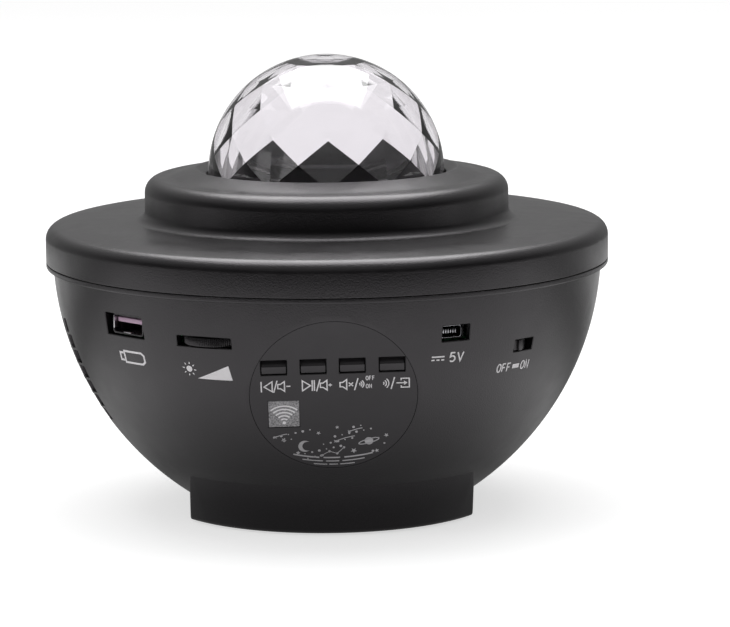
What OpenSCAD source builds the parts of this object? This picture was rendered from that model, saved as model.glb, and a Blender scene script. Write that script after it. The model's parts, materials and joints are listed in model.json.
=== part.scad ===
// Star night light projector: a bowl-shaped body with a raised lid, a clear faceted dome,
// a control panel, sockets, a speaker, and a turning ripple disc over an LED engine.
// Millimetres. +Z is up, the front faces -Y, and the origin is at the centre of the rest plane.

/* [Bowl] */
// Radius of the curve that the bowl's side follows
bowl_curve_r = 87.9; // [86:0.1:90]
// Height of that curve's centre
bowl_curve_z = 78.5; // [77:0.1:80]
// How far that curve's centre lies beyond the upright axis
bowl_curve_back = 5.35; // [4.5:0.05:6]
// Wall thickness of the bowl
bowl_wall = 2.2; // [2:0.1:2.6]
// Height of the bowl's flat bottom over the rest plane
bowl_floor_z = 3; // [2.8:0.1:3.6]
// Height of the seam between the bowl and the lid
seam_z = 75.3; // [74:0.1:76.5]

/* [Lid] */
// Radius of the lid's upright side
lid_r = 84.6; // [84:0.1:86]
// Height of the lid's side above the seam
lid_side_h = 10.4; // [9.6:0.1:11.6]
// Rise of the lid's top from its shoulder to the step
lid_rise = 1.3; // [0.8:0.1:1.8]
// Wall thickness of the lid
lid_wall = 2.2; // [2:0.1:2.6]
// Radius of the raised step in the middle of the lid
step_r = 54.7; // [53:0.1:57]
// Height of the step's side
step_h = 13.3; // [12.5:0.1:14]
// Radius of the step's rounded edge
step_round = 4.7; // [3:0.1:5]
// Radius of the hollow where the step meets the top of the lid
step_hollow = 3; // [2:0.1:5]
// Rise from the edge of the step to the crest around the dome
crest_rise = 2.4; // [2:0.1:3]

/* [Dome] */
// Outer radius of the dome
dome_r = 35.5; // [34.5:0.1:36]
// Wall thickness of the dome at the corners of its facets
dome_wall = 1.2; // [1:0.1:1.8]
// Height of the dome's centre under the crest of the step
dome_sink = 1.8; // [1.5:0.1:2.2]
// Facets in one row around the dome
dome_facets = 12; // [10:1:14]

/* [Foot] */
// Radius of the foot where it meets the rest plane
foot_r = 50.6; // [49:0.1:52]
// Radius of the foot at its upper edge
foot_top_r = 56.4; // [55:0.1:58]
// Distance between the two flat sides of the foot
foot_w = 84; // [80:1:88]
// Radius of each rubber pad
pad_r = 4.5; // [4:0.1:5]
// How far the pads stand out under the foot
pad_drop = 0.6; // [0.4:0.1:0.8]

/* [Control panel] */
// Radius of the round panel
panel_r = 25.1; // [24.4:0.1:25.6]
// Thickness of the panel
panel_t = 1.1; // [0.9:0.1:1.2]
// Height of the middle of the panel on the bowl
panel_z = 43.9; // [43.4:0.1:45]
// Height of the row of buttons
button_z = 54.8; // [54:0.1:56]
// Distance between the middles of the buttons
button_pitch = 11.4; // [11:0.1:11.8]
// Width of a button cap
button_w = 7.5; // [7.2:0.1:8]
// Height of a button cap
button_h = 3.7; // [3.4:0.1:4]
// Travel of a button
button_travel = 0.6; // [0.4:0.1:0.8]
// Side of the square receiver window
window_w = 9; // [8.5:0.1:9.4]
// Height of the receiver window on the bowl
window_z = 40.3; // [39.8:0.1:41]
// Angle from the front to the receiver window
window_az = -12; // [-12.5:0.5:-11.5]

/* [Sockets and controls] */
// Angle from the front to the USB-A socket
usb_az = -47.6; // [-49.6:0.4:-46]
// Height of the middle of the USB-A socket
usb_z = 63.8; // [63.4:0.1:64.4]
// Angle from the front to the 5 V inlet
dc_az = 25.6; // [25:0.2:26.4]
// Angle from the front to the power switch
switch_az = 43.8; // [42.8:0.2:45]
// Travel of the power switch
switch_travel = 2.6; // [2.2:0.1:2.8]
// Angle from the front to the dimmer wheel
wheel_az = -27.2; // [-27.8:0.2:-26.6]
// Radius of the dimmer wheel
wheel_r = 9.4; // [9:0.1:9.6]
// How far the dimmer wheel stands out of the bowl
wheel_out = 0.8; // [0.5:0.1:1]

/* [Speaker] */
// Angle from the front to the speaker
speaker_az = -98; // [-100:1:-96]
// Height of the middle of the speaker on the bowl
speaker_z = 42.8; // [42:0.2:43.6]
// Radius of the speaker's frame
speaker_r = 20; // [19:0.5:20.5]
// Slots in the speaker grille
grille_slots = 7; // [5:1:7]
// Distance between the slots
grille_pitch = 4.9; // [4.8:0.05:5]
// Width of the ribs between the slots
grille_rib = 0.8; // [0.7:0.1:1.2]
// Length of the longest slot
grille_w = 44; // [40:1:46]

/* [Light engine] */
// Height of the underside of the deck that carries the light engine
deck_z = 76; // [75.6:0.1:76.4]
// Thickness of the deck
deck_t = 2; // [1.8:0.1:2.2]
// Radius of the deck
deck_r = 50; // [49:0.5:50.5]
// Module of the gears
gear_module = 0.8; // [0.76:0.01:0.82]
// Teeth on the rim of the ripple disc
disc_teeth = 60; // [60:2:62]
// Teeth on the drive pinion
pinion_teeth = 10; // [10:1:11]
// Teeth on the grating wheel
grating_teeth = 18; // [17:1:18]
// Radius of the motor
motor_r = 6.5; // [6:0.1:6.8]
// Radius of the condenser lens
lens_r = 11.6; // [11:0.1:12]
// Radius of the laser module
laser_r = 3; // [2.8:0.1:3.1]
// Fins on the heat sink
sink_fins = 9; // [7:1:10]
// Radius of the heat sink
sink_r = 18; // [17:0.5:18]

/* [Hidden] */

fit = 0.3;
slip = 0.06;
cut = 0.2;
arc_steps = 20;
black = [0.17, 0.165, 0.17];

// ---- Shared geometry ----

// Radius of the bowl at height z, moved inwards by inset
function bowl_r(z, inset = 0) =
    sqrt(pow(bowl_curve_r - inset, 2) - pow(z - bowl_curve_z, 2)) - bowl_curve_back;
// Angle under the horizontal at which the bowl's surface faces at height z
function bowl_tilt(z) = asin((bowl_curve_z - z) / bowl_curve_r);
// Points along the bowl's side from height z0 to height z1
function bowl_arc(inset, z0, z1) =
    let (r = bowl_curve_r - inset, a0 = asin((z0 - bowl_curve_z) / r),
         a1 = asin((z1 - bowl_curve_z) / r))
    [for (i = [0:arc_steps]) let (a = a0 + (a1 - a0) * i / arc_steps)
        [r * cos(a) - bowl_curve_back, bowl_curve_z + r * sin(a)]];
function reversed(list) = [for (i = [len(list) - 1:-1:0]) list[i]];
function unit(v) = v / norm(v);
// Points that round the corner b between a and c with radius r
function corner(a, b, c, r, steps = 5) =
    let (u = unit(a - b), v = unit(c - b), half = acos(u * v) / 2, far = r / tan(half),
         mid = b + unit(u + v) * r / sin(half), from = b + u * far - mid, to = b + v * far - mid,
         a0 = atan2(from[1], from[0]), turn = atan2(to[1], to[0]) - a0,
         sweep = turn > 180 ? turn - 360 : turn < -180 ? turn + 360 : turn)
    [for (i = [0:steps]) mid + r * [cos(a0 + sweep * i / steps), sin(a0 + sweep * i / steps)]];
// An outline whose points are [x, y, corner radius]
function rounded(points) =
    [for (i = [0:len(points) - 1])
        let (n = len(points), p = points[i], xy = [p[0], p[1]],
             before = points[(i + n - 1) % n], after = points[(i + 1) % n])
        each (p[2] == 0 ? [xy]
            : corner([before[0], before[1]], xy, [after[0], after[1]], p[2]))];

// Places its children at angle az from the front, with their own -Y pointing outwards
module around(az, r = 0, z = 0) {
    rotate([0, 0, az]) translate([0, -r, z]) children();
}
// Places its children on the bowl's surface, square to it, with -Y pointing outwards
module on_bowl(az, z) {
    around(az, bowl_r(z), z) rotate([bowl_tilt(z), 0, 0]) children();
}
// Turns children that stand along Z so that they run inwards from the surface
module inwards() {
    rotate([-90, 0, 0]) children();
}
// A box centred on X and Z that runs from y0 to y1
module block(w, y0, y1, h) {
    translate([-w / 2, y0, -h / 2]) cube([w, y1 - y0, h]);
}
// A flat wedge from the axis to beyond the lid, between angles a0 and a1 from the front
module wedge(a0, a1) {
    far = 2 * lid_r;
    polygon([[0, 0], for (i = [0:3]) let (a = a0 + (a1 - a0) * i / 3) far * [sin(a), -cos(a)]]);
}
// The space inside the bowl's side, moved inwards by inset
module bowl_inside(inset) {
    rotate_extrude($fn = 96) polygon(concat([[0, bowl_floor_z + inset]],
        bowl_arc(inset, bowl_floor_z + inset, seam_z), [[0, seam_z]]));
}
// A panhead screw along Z with the underside of its head at z = 0 and its tip at length
module screw(r, length, head_r, head_h) {
    cylinder(r = r, h = length, $fn = 32);
    difference() {
        translate([0, 0, -head_h]) cylinder(r = head_r, h = head_h, $fn = 32);
        for (a = [0, 90]) rotate([0, 0, a]) translate([-head_r * 0.6, -r * 0.25, -head_h - 1])
            cube([head_r * 1.2, r * 0.5, 1 + head_h * 0.5]);
    }
}
// A gear along Z with one tooth on its +X side
module gear(teeth, h) {
    pitch_r = gear_module * teeth / 2;
    root_r = pitch_r - gear_module * 0.95;
    tip_r = pitch_r + gear_module * 0.7;
    step = 360 / teeth;
    linear_extrude(h) polygon([for (i = [0:teeth - 1]) each [
        for (p = [[root_r, -0.27], [tip_r, -0.13], [tip_r, 0.13], [root_r, 0.27]])
            let (a = (i + p[1]) * step) p[0] * [cos(a), sin(a)]]]);
}

// ---- Driving places ----

rim_in_r = bowl_r(seam_z, bowl_wall);
lip_h = 1.5;
seam_gap = 0.3;
seam_depth = 2.2;
skirt_h = 3.8;
skirt_t = 1.6;
skirt_r = bowl_r(seam_z - skirt_h, bowl_wall) - fit;
hook_z = seam_z - skirt_h + 0.6;
hook_h = 1;
hook_out = 0.5;
hook_count = 6;
shoulder_z = seam_z + lid_side_h;
lid_top_z = shoulder_z + lid_rise;
step_edge_z = lid_top_z + step_h;
crest_z = step_edge_z + crest_rise;
crest_r = dome_r + 4;
crest_foot_r = crest_r + 8;
opening_r = dome_r + 0.5;
opening_z = crest_z - 1.7;
flange_z = opening_z - 1.3;
flange_t = 2;
flange_r = dome_r + 4;
dome_z = crest_z - dome_sink;

foot_bottom_z = pad_drop;
foot_top_z = bowl_curve_z - sqrt(pow(bowl_curve_r, 2) - pow(foot_top_r + bowl_curve_back, 2));
foot_wall = 2.4;
pad_places = [for (x = [-1, 1], y = [-1, 1]) [x * 30, y * 30]];
foot_screw_r = 1.5;
foot_screw_places = [for (x = [-1, 1], y = [-1, 1]) [x * 18, y * 18]];
foot_boss_h = 7;

panel_recess = panel_t + 0.1;
window_t = panel_t;
button_x = [for (i = [0:3]) (i - 1.5) * button_pitch];
button_gap = 0.3;
button_recess = 0.9;
stem_y = 8.6;
tact_w = 6;
tact_h = 3.6;
tact_y = stem_y + button_travel + 0.3;
board_t = 1.6;
button_board_y = tact_y + tact_h;
button_board_w = 43;
button_board_z = [-23.6, 7.2];
button_board_posts = [[-9, -20.6], [9, -20.6], [0, 5]];
receiver_place = [-15.4, -15.6];

usb_w = 13.1;
usb_h = 5.7;
usb_depth = 14;
usb_open_w = 16;
usb_open_h = 6.5;
usb_face_r = bowl_r(usb_z - usb_h / 2, bowl_wall) - fit - 0.4;
main_top_z = usb_z - usb_h / 2;
main_z = main_top_z - board_t;
main_wing_r = bowl_r(main_z, bowl_wall) - 2.6;
main_r1 = main_wing_r - 13.6;
main_r0 = main_r1 - 12;
// Posts under the main board: [angle, radius]
main_posts = [[-60, main_r0 + 8], [0, main_r0 + 4.4], [53, main_r0 + 8]];
dc_w = 7.7;
dc_h = 4;
dc_depth = 9;
dc_open_w = 8.9;
dc_open_h = 4.7;
dc_lift = 0.45;
dc_z = main_top_z + dc_lift + dc_h / 2;
dc_face_r = bowl_r(dc_z - dc_h / 2, bowl_wall) - fit - 0.3;
switch_h = 4.3;
switch_w = 10;
switch_depth = 5.6;
switch_z = main_z - switch_h / 2;
switch_open_w = 7.8;
switch_open_h = 3.6;
switch_face_r = bowl_r(main_z - switch_h, bowl_wall) - fit - 0.8;
knob_w = 4.2;
knob_h = 3;
wheel_t = 2.4;
wheel_z = main_top_z - 0.7;
wheel_axis_r = bowl_r(wheel_z + wheel_t / 2) + wheel_out - wheel_r;
wheel_slot_w = 17.4;
wheel_slot_h = 3.1;
wheel_shaft_r = 1.5;
dimmer_w = 8.4;
dimmer_z = wheel_z - 0.3;
dimmer_h = 3.2;

speaker_y = 7.2;
speaker_plate_t = 1;
speaker_ear_r = 23.4;
speaker_ear_w = 5.4;
speaker_screw_r = 1.1;
basket_depth = 9.4;
basket_back_r = 12.6;
magnet_r = 13.6;
magnet_h = 7;
coil_r = 6.6;
coil_gap = 0.35;
cone_r = 14.6;
cone_travel = 0.8;
grille_h = grille_slots * grille_pitch;

deck_top_z = deck_z + deck_t;
deck_post_r = 46;
deck_post_w = 3.4;
deck_screw_r = 1.5;
disc_pitch_r = gear_module * disc_teeth / 2;
pinion_pitch_r = gear_module * pinion_teeth / 2;
grating_pitch_r = gear_module * grating_teeth / 2;
motor_y = disc_pitch_r + pinion_pitch_r;
laser_y = motor_y - pinion_pitch_r - grating_pitch_r;
cup_r = disc_pitch_r + 1.8;
cup_t = 1.8;
cup_flange_r = cup_r + cup_t + 3.6;
cup_top_z = flange_z - 0.2;
disc_z = deck_top_z + 9.6;
disc_t = 2.4;
ledge_t = 1.6;
ledge_z = disc_z - ledge_t - 0.2;
collar_h = 2.6;
grating_z = deck_top_z + collar_h + 0.2;
grating_t = 2.2;
pinion_z = grating_z - 0.5;
pinion_h = disc_z + disc_t + 0.8 - pinion_z;
shaft_r = 1;
motor_h = 14;
motor_ear_t = 1;
lens_y = -5;
holder_t = 1.4;
holder_r = lens_r + holder_t;
holder_flange_r = holder_r + 3;
holder_flange_t = 2;
sink_h = 12;
sink_top_z = deck_z - 14;
led_board_r = 10.8;
lens_z = deck_z - 5;
lens_t = 5.5;
tube_t = 0.6;
tube_r = laser_r + slip + tube_t;
laser_len = 18;

// ---- Casing ----

// Holes through the bowl for everything that reaches its outside
module bowl_openings() {
    around(usb_az, bowl_r(usb_z), usb_z) block(usb_open_w, -4, 8, usb_open_h);
    around(dc_az, bowl_r(dc_z), dc_z) block(dc_open_w, -4, 8, dc_open_h);
    around(switch_az, bowl_r(switch_z), switch_z) block(switch_open_w, -4, 8, switch_open_h);
    around(wheel_az, bowl_r(wheel_z), wheel_z + wheel_t / 2)
        block(wheel_slot_w, -4, 8, wheel_slot_h);
    on_bowl(0, button_z) for (x = button_x) translate([x, 0, 0])
        block(button_w + 2 * button_gap, -3, 8, button_h + 2 * button_gap);
    on_bowl(window_az, window_z) block(window_w - 2, -3, 6, window_w - 2);
    on_bowl(speaker_az, speaker_z) for (i = [0:grille_slots - 1])
        let (z = (i + 0.5) * grille_pitch - grille_h / 2,
             w = grille_w * sqrt(1 - pow(z / (grille_h * 0.78), 2)))
        translate([0, 0, z]) block(w, -3, 6.5, grille_pitch - grille_rib);
}
// Bosses on the inside of the bowl for the boards, the speaker and the foot
module bowl_bosses() {
    intersection() {
        bowl_inside(panel_recess + 0.3);
        union() {
            for (p = main_posts) around(p[0], p[1], bowl_floor_z + 1)
                cylinder(r = 3, h = main_z - bowl_floor_z - 1, $fn = 32);
            on_bowl(0, button_z) for (p = button_board_posts) translate([p[0], 0.5, p[1]])
                inwards() cylinder(r = 2, h = button_board_y - 0.5, $fn = 32);
            on_bowl(speaker_az, speaker_z) for (a = [45:90:315]) rotate([0, a, 0])
                translate([speaker_ear_r, 0.5, 0]) inwards()
                cylinder(r = 2.4, h = speaker_y - 0.5, $fn = 32);
            for (p = foot_screw_places) translate([p[0], p[1], bowl_floor_z + 1])
                cylinder(r = 3.6, h = foot_boss_h - 1, $fn = 32);
        }
    }
}
module bowl_shell() {
    color(black) difference() {
        union() {
            difference() {
                rotate_extrude($fn = 96) polygon(concat([[0, bowl_floor_z]],
                    bowl_arc(0, bowl_floor_z, seam_z - lip_h),
                    corner([lid_r - 2, seam_z - lip_h], [lid_r, seam_z - lip_h],
                        [lid_r, seam_z], 0.6),
                    [[lid_r, seam_z]],
                    reversed(bowl_arc(bowl_wall, bowl_floor_z + bowl_wall, seam_z)),
                    [[0, bowl_floor_z + bowl_wall]]));
                rotate_extrude($fn = 96) translate([rim_in_r - 2, hook_z - 0.3])
                    square([2 + hook_out + 0.1, hook_h + 0.6]);
                // Recess for the round panel
                difference() {
                    on_bowl(0, panel_z) inwards() translate([0, 0, -6])
                        cylinder(r = panel_r + cut, h = 20, $fn = 96);
                    bowl_inside(panel_recess);
                }
            }
            bowl_bosses();
        }
        bowl_openings();
        for (p = main_posts) around(p[0], p[1], main_z - 9)
            cylinder(r = 1.2, h = 10, $fn = 32);
        on_bowl(0, button_z) for (p = button_board_posts)
            translate([p[0], button_board_y - 5, p[1]]) inwards()
            cylinder(r = 0.9, h = 6, $fn = 32);
        on_bowl(speaker_az, speaker_z) for (a = [45:90:315]) rotate([0, a, 0])
            translate([speaker_ear_r, speaker_y - 3.4, 0]) inwards()
            cylinder(r = speaker_screw_r + slip, h = 4, $fn = 32);
        for (p = foot_screw_places) translate([p[0], p[1], bowl_floor_z - 1])
            cylinder(r = foot_screw_r + slip, h = foot_boss_h, $fn = 32);
    }
}
module top_cover() {
    inner_r = lid_r - lid_wall;
    roof_z = step_edge_z - 0.2 - lid_wall;
    color(black) {
        difference() {
            union() {
                rotate_extrude($fn = 96) polygon(rounded([
                    [lid_r, seam_z + seam_gap, 0], [lid_r, shoulder_z, 3.4],
                    [step_r + 19, lid_top_z, 30], [step_r, lid_top_z + 0.4, step_hollow],
                    [step_r, step_edge_z, step_round], [crest_foot_r, step_edge_z - 0.2, 10],
                    [crest_r, crest_z, 1.2], [opening_r, opening_z, 0.4],
                    [opening_r, flange_z, 0], [flange_r + 0.6, flange_z, 0],
                    [crest_foot_r - 3, roof_z, 2],
                    [step_r - lid_wall, roof_z, 2], [step_r - lid_wall, lid_top_z - lid_wall, 0.5],
                    [step_r + 19, lid_top_z - lid_wall, 10], [inner_r, shoulder_z - lid_wall, 2],
                    [inner_r, seam_z + 2, 0], [skirt_r - skirt_t, seam_z + 2, 0],
                    [skirt_r - skirt_t, seam_z - skirt_h, 0], [skirt_r, seam_z - skirt_h, 0],
                    [skirt_r, seam_z, 0], [lid_r - seam_depth, seam_z, 0],
                    [lid_r - seam_depth, seam_z + seam_gap, 0]]));
                for (i = [0:hook_count - 1]) rotate([0, 0, i * 360 / hook_count - 3])
                    rotate_extrude(angle = 6, $fn = 96) translate([skirt_r - 0.5, hook_z])
                    square([0.5 + hook_out, hook_h]);
                for (a = [45:90:315]) rotate([0, 0, a]) translate([deck_post_r, 0, deck_top_z])
                    cylinder(r = deck_post_w, h = roof_z + 1.2 - deck_top_z, $fn = 32);
            }
            for (a = [45:90:315]) rotate([0, 0, a]) translate([deck_post_r, 0, deck_top_z - 1])
                cylinder(r = deck_screw_r + slip, h = 13, $fn = 32);
        }
    }
}
// Latitudes of the rows of facet corners, from the skirt up to the flat cap
facet_rows = [-2, 10, 22, 37, 52, 70];
function facet_ring(k) = [for (i = [0:dome_facets - 1])
    let (a = (i + (k % 2) / 2) * 360 / dome_facets, r = dome_r - dome_wall)
    [r * cos(facet_rows[k]) * sin(a), -r * cos(facet_rows[k]) * cos(a), r * sin(facet_rows[k])]];
module dome_hollow() {
    n = dome_facets;
    rows = len(facet_rows);
    polyhedron(
        points = [for (k = [0:rows - 1]) each facet_ring(k)],
        faces = concat(
            [[for (i = [0:n - 1]) i]],
            [for (k = [0:rows - 2], i = [0:n - 1])
                let (j = (i + 1) % n, up = (k + 1) * n, shift = k % 2)
                [k * n + j, k * n + i, up + (i + shift) % n]],
            [for (k = [0:rows - 2], i = [0:n - 1])
                let (j = (i + 1) % n, up = (k + 1) * n, shift = k % 2)
                [up + i, up + j, k * n + (i + 1 - shift) % n]],
            [[for (i = [n - 1:-1:0]) (rows - 1) * n + i]]));
}
module dome_cover() {
    skirt_z = flange_z - flange_t;
    color([0.93, 0.92, 0.95, 0.4]) difference() {
        union() {
            intersection() {
                translate([0, 0, dome_z]) sphere(r = dome_r, $fn = 180);
                translate([0, 0, dome_z]) cylinder(r = dome_r + 1, h = dome_r + 1, $fn = 48);
            }
            translate([0, 0, skirt_z]) cylinder(r = dome_r, h = dome_z - skirt_z, $fn = 180);
            translate([0, 0, skirt_z]) cylinder(r = flange_r, h = flange_t, $fn = 180);
        }
        translate([0, 0, dome_z]) dome_hollow();
        translate([0, 0, skirt_z - 1]) cylinder(r = (dome_r - dome_wall) * cos(facet_rows[0])
            * cos(180 / dome_facets), h = dome_z - skirt_z + 2, $fn = 180);
    }
}
module base_foot() {
    color(black) difference() {
        intersection() {
            rotate_extrude($fn = 96) polygon(rounded([[0, foot_bottom_z, 0],
                [foot_r, foot_bottom_z, 1.6], [foot_top_r, foot_top_z + 0.6, 0.3],
                [foot_top_r - 8, foot_top_z + 0.6, 0], [0, foot_top_z + 0.6, 0]]));
            translate([-foot_w / 2, -lid_r, 0]) cube([foot_w, 2 * lid_r, 2 * foot_top_z]);
        }
        // Seat of the bowl
        rotate_extrude($fn = 96) polygon(concat([[0, bowl_floor_z]],
            bowl_arc(-0.1, bowl_floor_z, foot_top_z + 6), [[0, foot_top_z + 6]]));
        // Hollow between the wall of the foot and the bowl
        intersection() {
            rotate_extrude($fn = 96) polygon([[bowl_r(bowl_floor_z) - 1, bowl_floor_z - 0.1],
                [foot_r - foot_wall, bowl_floor_z - 0.1],
                [foot_top_r - foot_wall, foot_top_z + 1], [bowl_r(bowl_floor_z) - 1, foot_top_z + 1]]);
            translate([-foot_w / 2 + foot_wall, -lid_r, 0])
                cube([foot_w - 2 * foot_wall, 2 * lid_r, 2 * foot_top_z]);
        }
        for (p = pad_places) translate([p[0], p[1], -1])
            cylinder(r = pad_r + 0.1, h = 1 + 2 * pad_drop, $fn = 48);
        for (p = foot_screw_places) translate([p[0], p[1], 0]) {
            cylinder(r = foot_screw_r + 0.2, h = bowl_floor_z + 1, $fn = 32);
            cylinder(r = 3.2, h = foot_bottom_z + 1.2, $fn = 32);
        }
    }
}
module rubber_feet() {
    color([0.1, 0.1, 0.1]) for (p = pad_places) translate([p[0], p[1], 0])
        cylinder(r = pad_r, h = 2 * pad_drop, $fn = 48);
}
module foot_screws() {
    color("silver") for (p = foot_screw_places) translate([p[0], p[1], foot_bottom_z + 1.2])
        screw(foot_screw_r, foot_boss_h - 1, 2.9, 1);
}

// ---- Control panel ----

module control_panel() {
    color([0.2, 0.195, 0.2]) difference() {
        intersection() {
            difference() {
                bowl_inside(0);
                bowl_inside(panel_t);
            }
            on_bowl(0, panel_z) inwards() translate([0, 0, -6])
                cylinder(r = panel_r, h = 20, $fn = 96);
        }
        on_bowl(0, button_z) for (x = button_x) translate([x, 0, 0])
            block(button_w + 2 * button_gap, -3, 8, button_h + 2 * button_gap);
        on_bowl(window_az, window_z) block(window_w + cut, -3, 6, window_w + cut);
    }
}
module receiver_window() {
    color([0.45, 0.44, 0.46, 0.7]) on_bowl(window_az, window_z)
        block(window_w, 0.2, window_t + 0.15, window_w);
}
// Dome-shaped infrared receiver on its three legs
module ir_receiver() {
    color([0.12, 0.1, 0.13]) on_bowl(0, button_z)
        translate([receiver_place[0], 0, receiver_place[1]]) {
        block(5.6, button_board_y - 4, button_board_y - 1, 6);
        translate([0, button_board_y - 4, 0]) intersection() {
            sphere(r = 2.4, $fn = 48);
            block(6, -3, 0.5, 6);
        }
        for (x = [-2, 0, 2]) translate([x, 0, 0])
            block(0.5, button_board_y - 1.2, button_board_y, 0.5);
    }
}
// One cap, with the face that follows its place on the bowl and a stem to its switch
module button_cap(i) {
    x = button_x[i];
    r = bowl_r(button_z);
    sag = r - sqrt(r * r - x * x);
    far = abs(x) + button_w / 2 + 1;
    flange_y = r - sqrt(r * r - far * far) + bowl_wall + 0.5;
    color([0.14, 0.14, 0.145]) on_bowl(0, button_z) translate([x, 0, 0]) {
        block(button_w, sag + button_recess, flange_y + 0.5, button_h);
        block(button_w + 2, flange_y, flange_y + 1, button_h + 2);
        block(2.6, flange_y + 0.5, stem_y, 2.6);
    }
}
module button_previous() { button_cap(0); }
module button_next() { button_cap(1); }
module button_mute() { button_cap(2); }
module button_source() { button_cap(3); }
module button_plunger(i) {
    color([0.16, 0.16, 0.17]) on_bowl(0, button_z) translate([button_x[i], stem_y, 0])
        inwards() cylinder(r = 1.7, h = tact_y - stem_y + 1.4, $fn = 32);
}
module button_plungers_1() { button_plunger(0); }
module button_plungers_2() { button_plunger(1); }
module button_plungers_3() { button_plunger(2); }
module button_plungers_4() { button_plunger(3); }
module tact_switches() {
    color([0.6, 0.6, 0.62]) on_bowl(0, button_z) for (x = button_x) translate([x, 0, 0])
        difference() {
            union() {
                block(tact_w, tact_y, button_board_y - 0.2, tact_w);
                for (s = [-1, 1], z = [-2.2, 2.2]) translate([s * (tact_w / 2 - 0.2), 0, z])
                    block(1, button_board_y - 1, button_board_y, 0.7);
            }
            translate([0, tact_y - 1, 0]) inwards()
                cylinder(r = 1.7 + slip, h = 1.4 + button_travel + 1.3, $fn = 32);
        }
}
module button_board() {
    h = button_board_z[1] - button_board_z[0];
    color([0.1, 0.32, 0.18]) on_bowl(0, button_z) difference() {
        translate([0, 0, button_board_z[0] + h / 2])
            block(button_board_w, button_board_y, button_board_y + board_t, h);
        for (p = button_board_posts) translate([p[0], button_board_y - 1, p[1]])
            inwards() cylinder(r = 1, h = board_t + 2, $fn = 32);
    }
}
module button_board_screws() {
    color("silver") on_bowl(0, button_z) for (p = button_board_posts)
        translate([p[0], button_board_y + board_t, p[1]]) rotate([90, 0, 0])
        screw(0.85, 5.5, 1.7, 0.9);
}
// Flat cable from the button board up to the main board
module panel_ribbon() {
    x0 = 12;
    w = 7;
    t = 0.5;
    z0 = button_z - 10;
    tilt = bowl_tilt(button_z);
    y0 = (button_board_y + board_t) / cos(tilt) + (button_z - z0) * tan(tilt) - bowl_r(button_z);
    color([0.8, 0.8, 0.82]) translate([x0, 0, 0]) rotate([90, 0, 90]) linear_extrude(w)
        polygon([[y0 + 0.3, z0], [y0 + 5, z0], [y0 + 9, z0 + 3], [y0 + 9, main_z],
                 [y0 + 9 - t, main_z], [y0 + 9 - t, z0 + 3.3], [y0 + 4.8, z0 + t], [y0 + 0.4, z0 + t]]);
}

// ---- Boards, sockets and controls ----

module main_board() {
    color([0.1, 0.32, 0.18]) translate([0, 0, main_z]) linear_extrude(board_t) difference() {
        union() {
            intersection() {
                circle(r = main_r1, $fn = 96);
                wedge(-66, 58);
            }
            intersection() {
                circle(r = main_wing_r, $fn = 96);
                union() {
                    wedge(-60, -36.4);
                    wedge(20.6, 54);
                }
            }
        }
        circle(r = main_r0, $fn = 96);
        for (p = main_posts) rotate(p[0]) translate([0, -p[1]]) circle(r = 1.6, $fn = 32);
    }
}
module main_board_screws() {
    color("silver") for (p = main_posts) around(p[0], p[1], main_top_z)
        rotate([180, 0, 0]) screw(1.15, 8, 2.4, 1.4);
}
// Places on the main board: [angle, radius, width, depth, height]
chip_places = [[-50, main_r0 + 6, 7, 7, 1.4], [-38, main_r0 + 5, 5, 4, 1.2],
               [-8, main_r0 + 7, 8, 4.5, 1.6], [34, main_r0 + 17, 5, 4, 1.2],
               [36, main_r0 + 5, 6, 6, 1.4]];
module board_chips() {
    color([0.1, 0.1, 0.11]) for (p = chip_places) around(p[0], p[1], main_top_z + p[4] / 2)
        block(p[2], -p[3] / 2, p[3] / 2, p[4]);
}
capacitor_places = [[-26, main_r0 + 4.5], [-20, main_r0 + 4.5], [46, main_r0 + 6]];
module board_capacitors() {
    color([0.2, 0.22, 0.3]) for (p = capacitor_places) around(p[0], p[1], main_top_z)
        cylinder(r = 2.5, h = 7, $fn = 32);
}
module wireless_module() {
    color([0.12, 0.2, 0.42]) around(16, main_r0 + 6, main_top_z) translate([-8, -4.5, 0]) {
        cube([16, 9.5, 0.8]);
        translate([1, 1, 0.8]) cube([10, 7.5, 1.6]);
    }
}
module usb_shell() {
    color("silver") around(usb_az, usb_face_r, usb_z) difference() {
        block(usb_w, 0, usb_depth, usb_h);
        block(usb_w - 0.6, -1, usb_depth - 0.4, usb_h - 0.6);
    }
}
tongue_t = 1.8;
module usb_tongue() {
    color([0.78, 0.7, 0.75]) around(usb_az, usb_face_r, usb_z) {
        translate([0, 0, usb_h / 2 - 0.3 - 0.75 - tongue_t / 2])
            block(11.1, 1.3, usb_depth - 2.9, tongue_t);
        block(usb_w - 0.6, usb_depth - 3, usb_depth - 0.4, usb_h - 0.6);
    }
}
module usb_contacts() {
    color([0.85, 0.7, 0.35]) around(usb_az, usb_face_r, usb_z)
        for (x = [-3.5, -1, 1, 3.5]) translate([x, 0, usb_h / 2 - 1.05 - tongue_t - 0.1])
        block(1, 2.2, usb_depth - 3.2, 0.2);
}
module dc_shell() {
    color("silver") around(dc_az, dc_face_r, dc_z) {
        difference() {
            block(dc_w, 0, dc_depth, dc_h);
            block(dc_w - 0.6, -1, dc_depth - 0.4, dc_h - 0.6);
        }
        for (x = [-1, 1], y = [1.5, 6.5])
            translate([x * (dc_w / 2 - 0.6) - 0.4, y, -dc_h / 2 - dc_lift])
            cube([0.8, 1.2, dc_lift + 0.2]);
    }
}
module dc_tongue() {
    color([0.12, 0.12, 0.12]) around(dc_az, dc_face_r, dc_z) {
        block(5, 1.2, dc_depth - 2, 1);
        block(dc_w - 0.6, dc_depth - 2.4, dc_depth - 0.4, dc_h - 0.6);
    }
}
module switch_body() {
    color([0.16, 0.16, 0.17]) around(switch_az, switch_face_r, switch_z) difference() {
        block(switch_w, 0, switch_depth, switch_h);
        block(switch_w - 1.6, 1, switch_depth - 1, switch_h - 1.6);
        block(knob_w - 1 + switch_travel + 1, -1, 2, 2.2);
    }
}
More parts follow.
